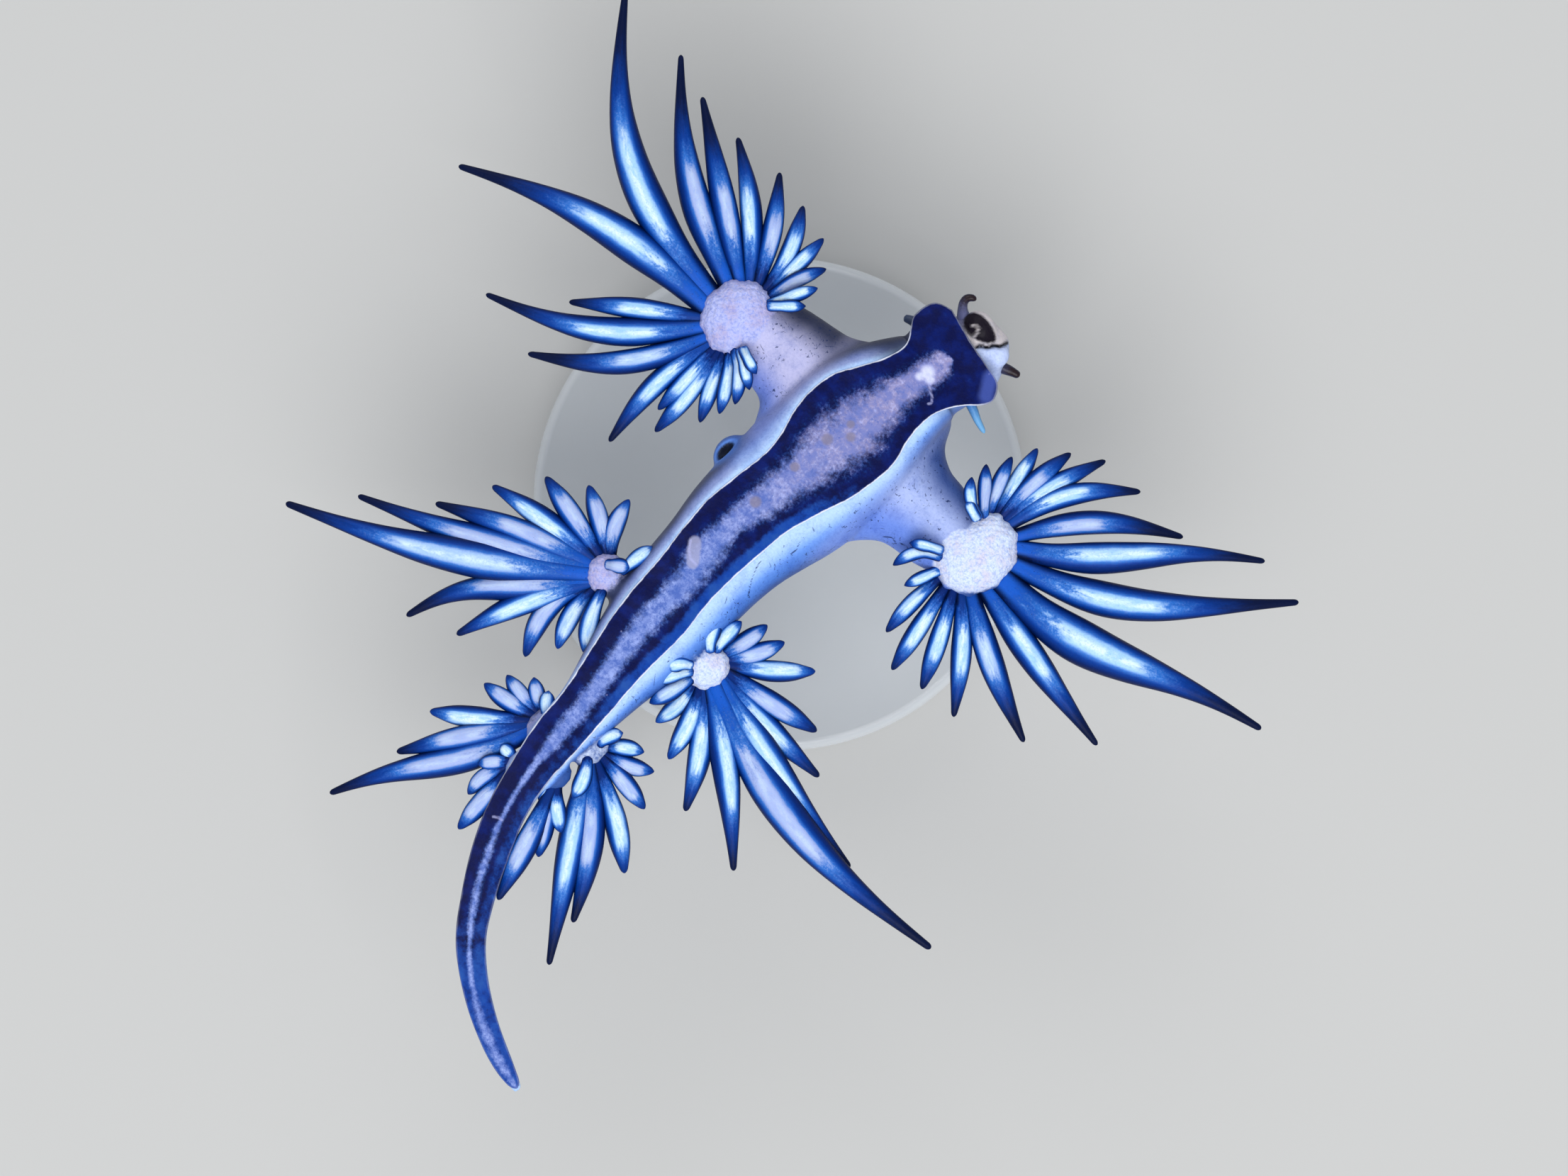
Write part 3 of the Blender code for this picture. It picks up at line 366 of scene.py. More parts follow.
def inside_outline(points: Array, outline: Rows) -> Array:
    """Measure how deep each point lies inside a closed outline, in plan.

    Args:
        points: x and y of each point, one row each.
        outline: the outline's corners.

    Returns:
        One distance for each point, negative outside.
    """
    corners = np.asarray(outline, float)[:, :2]
    x, y = points[:, 0], points[:, 1]
    odd = np.zeros(len(points), bool)
    for (ax, ay), (bx, by) in zip(corners, np.roll(corners, -1, axis=0)):
        crosses = (ay > y) != (by > y)
        with np.errstate(divide="ignore", invalid="ignore"):
            at = (bx - ax) * (y - ay) / (by - ay) + ax
        odd ^= crosses & (x < at)
    distance = distance_to(points, outline, closed=True)
    return np.where(odd, distance, -distance)


def nearest_places(points: Array, line: Array) -> Array:
    """Find the nearest of a line's places, in plan, for each point.

    Args:
        points: the points, one row each.
        line: the line's places, one row each.

    Returns:
        One index for each point.
    """
    best = np.zeros(len(points), int)
    for start in range(0, len(points), CHUNK):
        part = points[start:start + CHUNK, None, :2] - line[None, :, :2]
        best[start:start + CHUNK] = np.argmin((part**2).sum(axis=2), axis=1)
    return best


def rounded_end(t: Array, share: float) -> Array:
    """Factor on the radius that rounds a swept shape off over the last share of its length."""
    past = np.clip((t - 1 + share) / share, 0, 1)
    return np.sqrt(np.clip(1 - past**2, 0.003, 1))


def closer_to_end(count: int, share: float) -> Array:
    """Positions from 0 to 1, with closer ones where the last share is rounded off."""
    last = 1 - share + share * np.sin(np.linspace(0.25, 1, 6) * math.pi / 2)
    return np.concatenate((np.linspace(0, 1 - share, count), last))


class Midline:
    """The line along the middle of the foot, with the body's sizes along it."""

    def __init__(self) -> None:
        """Measure the body table's line."""
        self.table = np.array(BODY)
        steps = np.linalg.norm(np.diff(self.table[:, :2], axis=0), axis=1)
        self.along = np.concatenate(([0.0], np.cumsum(steps)))
        self.length = float(self.along[-1])

    def rows(self, s: Array) -> Array:
        """Smoothed table rows at distances s."""
        return smooth_through(self.along, self.table, np.clip(s, 0.0, self.length))

    def sides(self, s: Array) -> Array:
        """Find which way the animal's right is, in plan.

        Args:
            s: distances along the midline.

        Returns:
            One unit vector for each distance.
        """
        step = 0.05
        ahead = self.rows(s + step)[..., :2] - self.rows(s - step)[..., :2]
        ahead /= np.linalg.norm(ahead, axis=-1, keepdims=True)
        return np.stack((ahead[..., 1], -ahead[..., 0]), axis=-1)


class Shape(NamedTuple):
    """Points in millimetres and the faces over them."""

    points: Array
    faces: list[tuple[int, ...]]


def loft(rings: Sequence[Array], first_tip: Array | None = None,
         last_tip: Array | None = None) -> Shape:
    """A closed surface over rings of equal point counts.

    Args:
        rings: the rings, each an array of points.
        first_tip: the point that closes the first ring, or its middle.
        last_tip: the point that closes the last ring, or its middle.

    Returns:
        The closed shape.
    """
    grid = np.array(rings, float)
    amount, count = grid.shape[:2]
    first = grid[0].mean(axis=0) if first_tip is None else np.asarray(first_tip, float)
    last = grid[-1].mean(axis=0) if last_tip is None else np.asarray(last_tip, float)
    points = np.concatenate((grid.reshape(-1, 3), first[None], last[None]))
    faces: list[tuple[int, ...]] = []
    for r in range(amount - 1):
        for k in range(count):
            a, b = r * count + k, r * count + (k + 1) % count
            faces.append((a, b, b + count, a + count))
    start, end, base = amount * count, amount * count + 1, (amount - 1) * count
    for k in range(count):
        faces.append((start, (k + 1) % count, k))
        faces.append((end, base + k, base + (k + 1) % count))
    return Shape(points, faces)


def rounded_section(right: Array, left: Array, top: float, bottom: float) -> Array:
    """Draw an upright rounded section between two edge points.

    Args:
        right: x and y of its right edge.
        left: x and y of its left edge.
        top: its highest level.
        bottom: its lowest level.

    Returns:
        Its points, one row each.
    """
    count, power = 40, 2.2
    angle = np.linspace(0, 2 * math.pi, count, endpoint=False)
    across = np.sign(np.cos(angle)) * np.abs(np.cos(angle)) ** (2 / power)
    up = np.sign(np.sin(angle)) * np.abs(np.sin(angle)) ** (2 / power)
    plan = (right + left) / 2 + (right - left) / 2 * across[:, None]
    return np.column_stack((plan, (top + bottom) / 2 + (top - bottom) / 2 * up))


def mound(middle: Sequence[float], radii: Sequence[float], power: float = 2.0,
          ripples: int = 0, depth: float = 0.0) -> Shape:
    """Make a closed rounded lump.

    Args:
        middle: its middle.
        radii: its three radii.
        power: 2 for an ellipsoid, more for a squarer lump.
        ripples: how many scallops its rim has.
        depth: their depth as a share of its radius.

    Returns:
        The lump.
    """
    around, up = 64, 24
    rings = []
    for r in range(1, up):
        tilt = -math.pi / 2 + math.pi * r / up
        flat = abs(math.cos(tilt)) ** (2 / power)
        rise = math.copysign(abs(math.sin(tilt)) ** (2 / power), math.sin(tilt))
        angle = np.linspace(0, 2 * math.pi, around, endpoint=False)
        reach = flat * (1 + depth * (np.cos(ripples * angle) + np.sin(ripples // 2 * angle)))
        rings.append(np.column_stack((middle[0] + radii[0] * reach * np.cos(angle),
                                      middle[1] + radii[1] * reach * np.sin(angle),
                                      np.full(around, middle[2] + radii[2] * rise))))
    low = np.array(middle) - (0, 0, radii[2])
    high = np.array(middle) + (0, 0, radii[2])
    return loft(rings, low, high)


def mesh_from(name: str, shape: Shape, scale: float = 1.0) -> Mesh:
    """Make a mesh with its faces turned outwards.

    Args:
        name: its name.
        shape: points and faces.
        scale: factor on the points.

    Returns:
        The mesh.
    """
    mesh = bpy.data.meshes.new(name)
    mesh.from_pydata((shape.points * scale).tolist(), [], shape.faces)
    work = bmesh.new()
    work.from_mesh(mesh)
    bmesh.ops.recalc_face_normals(work, faces=work.faces)
    work.to_mesh(mesh)
    work.free()
    return mesh


def put_in_scene(name: str, data: bpy.types.ID) -> Thing:
    """Link a new object to the scene.

    Args:
        name: its name.
        data: its mesh, curve, light or camera.

    Returns:
        The object.
    """
    made = bpy.data.objects.new(name, data)
    bpy.context.scene.collection.objects.link(made)
    return made


def plain_mesh(source: Thing) -> Mesh:
    """Apply an object's modifiers and remove the object.

    Args:
        source: the object.

    Returns:
        The mesh that its modifiers give.
    """
    graph = bpy.context.evaluated_depsgraph_get()
    mesh = bpy.data.meshes.new_from_object(source.evaluated_get(graph),
                                           preserve_all_data_layers=True, depsgraph=graph)
    bpy.data.objects.remove(source, do_unlink=True)
    return mesh


def rows_of(items: Sequence[object], name: str) -> Array:
    """Read three numbers of each of a mesh's items.

    Args:
        items: the mesh's points or normals.
        name: which value is read.

    Returns:
        One row for each item.
    """
    flat = np.empty(len(items) * 3)
    items.foreach_get(name, flat)
    return flat.reshape(-1, 3)


def points_of(mesh: Mesh) -> Array:
    """The mesh's points, one row each."""
    return rows_of(mesh.vertices, "co")


def set_points(mesh: Mesh, points: Array) -> None:
    """Move the mesh's points."""
    mesh.vertices.foreach_set("co", points.ravel())
    mesh.update()


def normals_of(mesh: Mesh) -> Array:
    """The mesh's normals at its points, one row each."""
    return rows_of(mesh.vertex_normals, "vector")


def store(mesh: Mesh, name: str, values: Array) -> None:
    """Keep a number or a colour on each point of a mesh.

    Args:
        mesh: the mesh.
        name: what it is kept under.
        values: one number or one row of three for each point.
    """
    if values.ndim == 1:
        mesh.attributes.new(name, "FLOAT", "POINT").data.foreach_set("value", values)
        return
    colours = np.column_stack((values, np.ones(len(values))))
    mesh.attributes.new(name, "FLOAT_COLOR", "POINT").data.foreach_set("color", colours.ravel())


def fuse(shapes: Sequence[Shape], voxel: float, rounds: int) -> Mesh:
    """One even skin over overlapping shapes.

    Args:
        shapes: the closed shapes.
        voxel: size of the skin's cells.
        rounds: how many times the skin is smoothed.

    Returns:
        The skin's mesh, still in millimetres.
    """
    points, faces, start = [], [], 0
    for shape in shapes:
        points.append(shape.points)
        faces += [tuple(k + start for k in face) for face in shape.faces]
        start += len(shape.points)
    source = put_in_scene("fusing", mesh_from("fusing", Shape(np.concatenate(points), faces)))
    remesh = source.modifiers.new("remesh", "REMESH")
    remesh.mode = "VOXEL"
    remesh.voxel_size = voxel
    smooth = source.modifiers.new("smooth", "SMOOTH")
    smooth.factor = 0.5
    smooth.iterations = rounds
    return plain_mesh(source)


class Nodes:
    """A tree of nodes, with short ways to add and feed them."""

    def __init__(self, tree: bpy.types.NodeTree) -> None:
        """Keep the tree that the nodes go into."""
        self.tree = tree

    def feed(self, socket: Socket, value: object) -> None:
        """Give a socket a number, a colour or another socket's output.

        Args:
            socket: the socket to feed.
            value: what it gets.
        """
        if isinstance(value, Socket):
            self.tree.links.new(value, socket)
        elif isinstance(value, tuple) and len(value) == 3 and socket.type == "RGBA":
            socket.default_value = (*value, 1.0)
        else:
            socket.default_value = value

    def feed_all(self, node: Node, feeds: Feeds) -> None:
        """Feed several inputs of a node, by name or number."""
        for name, value in feeds.items():
            self.feed(node.inputs[name], value)

    def add(self, kind: str, feeds: Feeds | None = None,
            **settings: object) -> Node:
        """Add a node.

        Args:
            kind: its type.
            feeds: what its inputs get, by name or number.
            settings: its settings.

        Returns:
            The node.
        """
        node = self.tree.nodes.new(kind)
        for key, value in settings.items():
            setattr(node, key, value)
        self.feed_all(node, feeds or {})
        return node


class Wiring(Nodes):
    """A material's nodes, with short ways to add and join them."""

    def __init__(self, name: str) -> None:
        """Start the material with its Principled shader and Object coordinates.

        Args:
            name: the material's name.
        """
        self.material = bpy.data.materials.new(name)
        self.material.use_nodes = True
        super().__init__(self.material.node_tree)
        self.shader = self.tree.nodes["Principled BSDF"]
        self.place = self.add("ShaderNodeTexCoord").outputs["Object"]

    def calc(self, operation: str, *values: object) -> Socket:
        """The result of a Math node's operation on some values, in the node's order."""
        return self.add("ShaderNodeMath", dict(enumerate(values)), operation=operation).outputs[0]

    def times(self, first: object, *others: object) -> Socket:
        """Multiply some values.

        Args:
            first: a number or a socket.
            others: more of them.

        Returns:
            The product.
        """
        for value in others:
            first = self.calc("MULTIPLY", first, value)
        return first

    def plus(self, first: object, second: object) -> Socket:
        """The sum of two values."""
        return self.calc("ADD", first, second)

    def minus(self, first: object, second: object) -> Socket:
        """The difference of two values."""
        return self.calc("SUBTRACT", first, second)

    def scaled(self, value: object, factor: float, offset: object) -> Socket:
        """A value times a factor, plus an offset."""
        return self.calc("MULTIPLY_ADD", value, factor, offset)

    def size_of(self, value: object) -> Socket:
        """A value without its sign."""
        return self.calc("ABSOLUTE", value)

    def frayed(self, name: str, noise: object, amount: float) -> Socket:
        """A number kept on the points, with its border frayed by noise."""
        return self.plus(self.value_of(name), self.times(noise, amount))

    def step(self, value: object, low: float, high: float, start: float = 0.0,
             end: float = 1.0) -> Socket:
        """Step smoothly from one number to another.

        Args:
            value: what is measured.
            low: where the step starts; above high, it runs down.
            high: where it ends.
            start: the result at low.
            end: the result at high.

        Returns:
            The result's socket.
        """
        if low > high:
            low, high, start, end = high, low, end, start
        feeds = dict(enumerate((value, low, high, start, end)))
        return self.add("ShaderNodeMapRange", feeds, interpolation_type="SMOOTHSTEP").outputs[0]

    def blend(self, share: object, first: object, second: object, kind: str = "MIX") -> Socket:
        """Mix two colours.

        Args:
            share: share of the second, from 0 to 1.
            first: the colour at 0.
            second: the colour at 1.
            kind: the way of mixing.

        Returns:
            The mixed colour's socket.
        """
        return self.add("ShaderNodeMix", {"Factor": share, "A": first, "B": second},
                        data_type="RGBA", blend_type=kind).outputs["Result"]

    def value_of(self, name: str) -> Socket:
        """A number kept on the piece's points."""
        return self.add("ShaderNodeAttribute", attribute_name=name).outputs["Fac"]

    def colour_of(self, name: str) -> Socket:
        """A colour kept on the piece's points."""
        return self.add("ShaderNodeAttribute", attribute_name=name).outputs["Color"]

    def noise(self, size: float, detail: float = 3.0, roughness: float = 0.55) -> Socket:
        """Make cloudy noise.

        Args:
            size: how many millimetres its lumps measure.
            detail: how many finer layers it has.
            roughness: strength of the finer layers.

        Returns:
            The noise's value, around 0.5.
        """
        feeds = {"Vector": self.place, "Scale": 1 / (size * MM), "Detail": detail,
                 "Roughness": roughness}
        return self.add("ShaderNodeTexNoise", feeds).outputs["Fac"]

    def cells(self, size: float, feature: str = "F1") -> Socket:
        """Distances to the middles or the edges of cells that measure size millimetres."""
        return self.add("ShaderNodeTexVoronoi", {"Vector": self.place, "Scale": 1 / (size * MM)},
                        feature=feature).outputs["Distance"]

    def bump(self, height: object, depth: float) -> Socket:
        """The normal of a surface bumped by a height, of which 1 is depth millimetres."""
        feeds = {"Strength": 1.0, "Distance": depth * MM, "Height": height}
        return self.add("ShaderNodeBump", feeds).outputs["Normal"]

    def finish(self, feeds: Feeds) -> Material:
        """Feed the shader and hand the material over."""
        self.feed_all(self.shader, feeds)
        return self.material

    def wet(self, colour: object, roughness: object, normal: object, coat: float, glow: float,
            shine: float = 0.25) -> Material:
        """Finish the shader as moist living skin.

        Args:
            colour: its base colour.
            roughness: its roughness.
            normal: its bumped normal.
            coat: how strong the film of water is.
            glow: how much light goes through the flesh.
            shine: level of the skin's own reflection.

        Returns:
            The finished material.
        """
        return self.finish({
            "Base Color": colour, "Roughness": roughness, "Normal": normal,
            "Coat Weight": coat, "Coat Roughness": FILM_ROUGHNESS, "Coat IOR": WATER_IOR,
            "IOR": FLESH_IOR, "Specular IOR Level": shine, "Subsurface Weight": glow,
            "Subsurface Radius": GLOW_REACH, "Subsurface Scale": GLOW_DEPTH * MM})


class SoleNoise(NamedTuple):
    """The noises that fray the sole's colours."""

    cloud: Socket
    grain: Socket
    crumb: Socket
    ragged: Socket


@dataclass(frozen=True)
class SoleFinish:
    """The foot's navy sole with its mottled lilac stripe and thin pale margin."""

    navy: Colour = (0.0004, 0.008, 0.115)
    deep: Colour = (0.0001, 0.0025, 0.050)
    royal: Colour = (0.004, 0.060, 0.40)
    haze: Colour = (0.015, 0.085, 0.38)
    lilac: Colour = (0.190, 0.215, 0.50)
    rose: Colour = (0.300, 0.270, 0.46)
    silver: Colour = (0.44, 0.46, 0.80)
    azure: Colour = (0.055, 0.125, 0.46)
    frost: Colour = (0.27, 0.37, 0.77)
    white: Colour = (0.80, 0.84, 1.0)
    tan: Colour = (0.215, 0.190, 0.27)
    beige: Colour = (0.34, 0.35, 0.54)
    lobe: Colour = (0.050, 0.085, 0.36)
    cloud_size: float = 0.60
    patch_size: float = 0.38
    speck_size: float = 0.20
    grain_size: float = 0.11
    dot_size: float = 0.62
    margin_width: float = 0.065
    bump_depth: float = 0.022
    film: float = 0.04
    glow: float = 0.03
    shine: float = 0.10

    def noises(self, wire: Wiring) -> SoleNoise:
        """Make the noises that every mark shares.

        Args:
            wire: its nodes.

        Returns:
            Clouds, grain, and two raggednesses around 0, one fine and one mixed.
        """
        cloud = wire.noise(self.cloud_size, 4.0, 0.6)
        grain = wire.noise(self.grain_size, 5.0, 0.7)
        wander = wire.scaled(wire.noise(self.cloud_size, 5.0, 0.65), 1.5, -0.75)
        crumb = wire.scaled(grain, 0.7, -0.35)
        return SoleNoise(cloud, grain, crumb, wire.plus(wander, crumb))

    def ground(self, wire: Wiring, noise: SoleNoise, share: Socket) -> Socket:
        """Colour the dark ground in clouds of navy, bluer on the left and at the tail.

        Args:
            wire: its nodes.
            noise: the shared noises.
            share: how near the stripe a point is.

        Returns:
            The ground's colour.
        """
        ground = wire.blend(wire.step(noise.cloud, 0.38, 0.68), self.deep, self.navy)
        royal = wire.plus(wire.value_of("royal"), noise.ragged)
        bluer = wire.blend(wire.step(noise.cloud, 0.4, 0.7), self.royal, self.haze)
        ground = wire.blend(wire.step(royal, 0.20, 1.05, 0.0, 0.85), ground, bluer)
        beside = wire.times(wire.step(share, -0.90, 0.15), wire.step(noise.grain, 0.40, 0.66), 0.70)
        return wire.blend(beside, ground, self.haze)

    def stripe(self, wire: Wiring, noise: SoleNoise) -> Socket:
        """Colour the stripe: rosy grey lilac in front, turning to cold blue at the rear.

        Args:
            wire: its nodes.
            noise: the shared noises.

        Returns:
            The stripe's colour.
        """
        patch = wire.noise(self.patch_size, 5.0, 0.7)
        mottle = wire.scaled(patch, 0.6, wire.times(noise.grain, 0.4))
        front = wire.blend(wire.step(patch, 0.38, 0.62), self.lilac, self.rose)
        front = wire.blend(wire.step(mottle, 0.48, 0.70), front, self.silver)
        rear = wire.blend(wire.step(mottle, 0.38, 0.62), self.azure, self.frost)
        colour = wire.blend(wire.times(wire.value_of("rear"), 0.85), front, rear)
        specks = wire.step(wire.noise(self.speck_size, 5.0, 0.75), 0.54, 0.70, 0.0, 0.55)
        colour = wire.blend(specks, colour, self.haze)
        return wire.blend(wire.step(noise.cloud, 0.56, 0.38, 0.0, 0.35), colour, self.azure)

    def spots(self, wire: Wiring, noise: SoleNoise, colour: Socket) -> Socket:
        """Add the tan spots, the beige blotch, the bright patch and the faint streaks.

        Args:
            wire: its nodes.
            noise: the shared noises.
            colour: the colour so far.

        Returns:
            The colour with the spots.
        """
        tan = wire.frayed("tan", noise.crumb, 0.8)
        colour = wire.blend(wire.step(tan, 0.20, 0.9, 0.0, 0.75), colour, self.tan)
        blotch = wire.frayed("blotch", noise.ragged, 0.5)
        colour = wire.blend(wire.step(blotch, 0.15, 0.80, 0.0, 0.75), colour, self.beige)
        bright = wire.frayed("bright", noise.ragged, 0.45)
        colour = wire.blend(wire.step(bright, 0.18, 0.70, 0.0, 0.45), colour, self.silver)
        colour = wire.blend(wire.step(bright, 0.45, 1.25, 0.0, 0.78), colour, self.white)
        streak = wire.frayed("streak", noise.crumb, 0.08)
        return wire.blend(wire.step(streak, 0.075, 0.015, 0.0, 0.50), colour, self.silver)

    def borders(self, wire: Wiring, noise: SoleNoise, colour: Socket) -> Socket:
        """Add the paler front lobe, the white margin and a few tiny dots.

        Args:
            wire: its nodes.
            noise: the shared noises.
            colour: the colour so far.

        Returns:
            The finished colour.
        """
        lobe = wire.frayed("lobe", noise.crumb, 0.25)
        colour = wire.blend(wire.step(lobe, 1.15, 0.30, 0.0, 0.85), colour, self.lobe)
        edge = wire.plus(wire.value_of("edge"), wire.scaled(wire.noise(0.5, 3.0), 0.09, -0.045))
        margin = wire.step(edge, self.margin_width, self.margin_width * 0.3)
        colour = wire.blend(wire.times(wire.value_of("rim"), margin), colour, self.white)
        dots = wire.times(wire.step(wire.cells(self.dot_size), 0.075, 0.045),
                          wire.step(wire.noise(1.3, 1.0), 0.50, 0.58), 0.45)
        return wire.blend(dots, colour, self.silver)

    def material(self) -> Material:
        """Make the sole's material.

        Returns:
            The material, over the sole's marks.
        """
        wire = Wiring("sole_skin")
        noise = self.noises(wire)
        share = wire.plus(wire.value_of("stripe"), noise.ragged)
        colour = wire.blend(wire.step(share, -0.55, 0.50), self.ground(wire, noise, share),
                            self.stripe(wire, noise))
        colour = self.borders(wire, noise, self.spots(wire, noise, colour))
        normal = wire.bump(wire.scaled(noise.cloud, 0.8, noise.grain), self.bump_depth)
        rough = wire.step(noise.grain, 0.3, 0.7, 0.36, 0.50)
        return wire.wet(colour, rough, normal, self.film, self.glow, self.shine)


@dataclass(frozen=True)
class FleshFinish:
    """The flanks, arms, head and pads: broad tints, partly painted shade, with fine marks over them.
    """

    mark: Colour = (0.008, 0.022, 0.10)
    shade: Colour = (0.42, 0.50, 0.72)
    rose: Colour = (0.97, 0.80, 0.77)
    pad_low: Colour = (0.60, 0.66, 0.88)
    pad_high: Colour = (1.0, 1.0, 1.0)
    cloud_size: float = 0.80
    grain_size: float = 0.10
    fray_size: float = 0.30
    crack_size: float = 0.95
    dust_size: float = 0.13
    bead_size: float = 0.11
    bump_depth: float = 0.035
    film: float = 0.10
    glow: float = 0.05
    shine: float = 0.20

    def fine_marks(self, wire: Wiring, colour: Socket) -> Socket:
        """Add broken hair lines, painted shade along the creases, and dark dust.

        Args:
            wire: its nodes.
            colour: the colour so far.

        Returns:
            The colour with its marks.
        """
        speckled = wire.value_of("speckled")
        cracks = wire.step(wire.cells(self.crack_size, "DISTANCE_TO_EDGE"), 0.020, 0.002)
        broken = wire.step(wire.noise(0.42, 3.0, 0.6), 0.57, 0.63)
        colour = wire.blend(wire.times(cracks, broken, speckled, 0.7), colour, self.mark)
        # Painted shade along the creases
        crease = wire.scaled(wire.noise(0.25, 3.0), 0.05, wire.value_of("crease"))
        colour = wire.blend(wire.step(crease, 0.065, 0.035, 0.0, 0.85), colour, self.mark)
        dense = wire.scaled(speckled, 0.07, wire.noise(self.dust_size, 3.0, 0.6))
        patches = wire.step(wire.noise(0.9, 2.0), 0.40, 0.56)
        dust = wire.times(wire.step(dense, 0.67, 0.74), patches, speckled, 0.9)
        return wire.blend(dust, colour, self.mark)

    def sugar(self, wire: Wiring, pad: Socket, grain: Socket, colour: Socket) -> Socket:
        """Cover the pads with pale grain and a rosy blush.

        Args:
            wire: its nodes.
            pad: how much a point belongs to a pad.
            grain: the fine noise.
            colour: the colour so far.

        Returns:
            The finished colour.
        """
        sugar = wire.blend(wire.step(grain, 0.34, 0.58), self.pad_low, self.pad_high)
        tinted = wire.blend(1.0, wire.colour_of("grain"), sugar, "MULTIPLY")
        colour = wire.blend(pad, colour, tinted)
        blush = wire.step(wire.noise(self.cloud_size, 5.0, 0.75), 0.42, 0.66)
        return wire.blend(wire.times(pad, blush, 0.8), colour, self.rose, "MULTIPLY")

    def material(self) -> Material:
        """Make the flesh's material.

        Returns:
            The material, over the skin's tint.
        """
        wire = Wiring("flesh_skin")
        fray = wire.scaled(wire.noise(self.fray_size, 4.0, 0.7), 0.9, -0.45)
        pad = wire.step(wire.plus(wire.value_of("pad"), fray), 0.30, 0.75)
        cloud = wire.noise(self.cloud_size, 5.0, 0.65)
        grain = wire.noise(self.grain_size, 5.0, 0.75)
        colour = wire.colour_of("tint")
        colour = wire.blend(wire.step(cloud, 0.42, 0.72, 0.0, 0.45), colour, self.shade, "MULTIPLY")
        colour = wire.blend(wire.step(grain, 0.40, 0.75, 0.0, 0.35), colour, self.shade, "MULTIPLY")
        colour = self.sugar(wire, pad, grain, self.fine_marks(wire, colour))
        beads = wire.times(wire.cells(self.bead_size), pad, 0.8)
        normal = wire.bump(wire.minus(wire.times(grain, 0.7), beads), self.bump_depth)
        rough = wire.scaled(pad, 0.14, 0.44)
        return wire.wet(colour, rough, normal, self.film, self.glow, self.shine)


class CerasPlace(NamedTuple):
    """Where a point lies on its own ceras, as shader values."""

    slender: Socket
    own: Socket
    ahead: Socket
    behind: Socket
    off: Socket
    room: Socket
    upper: Socket
    streak: Socket
    grain: Socket


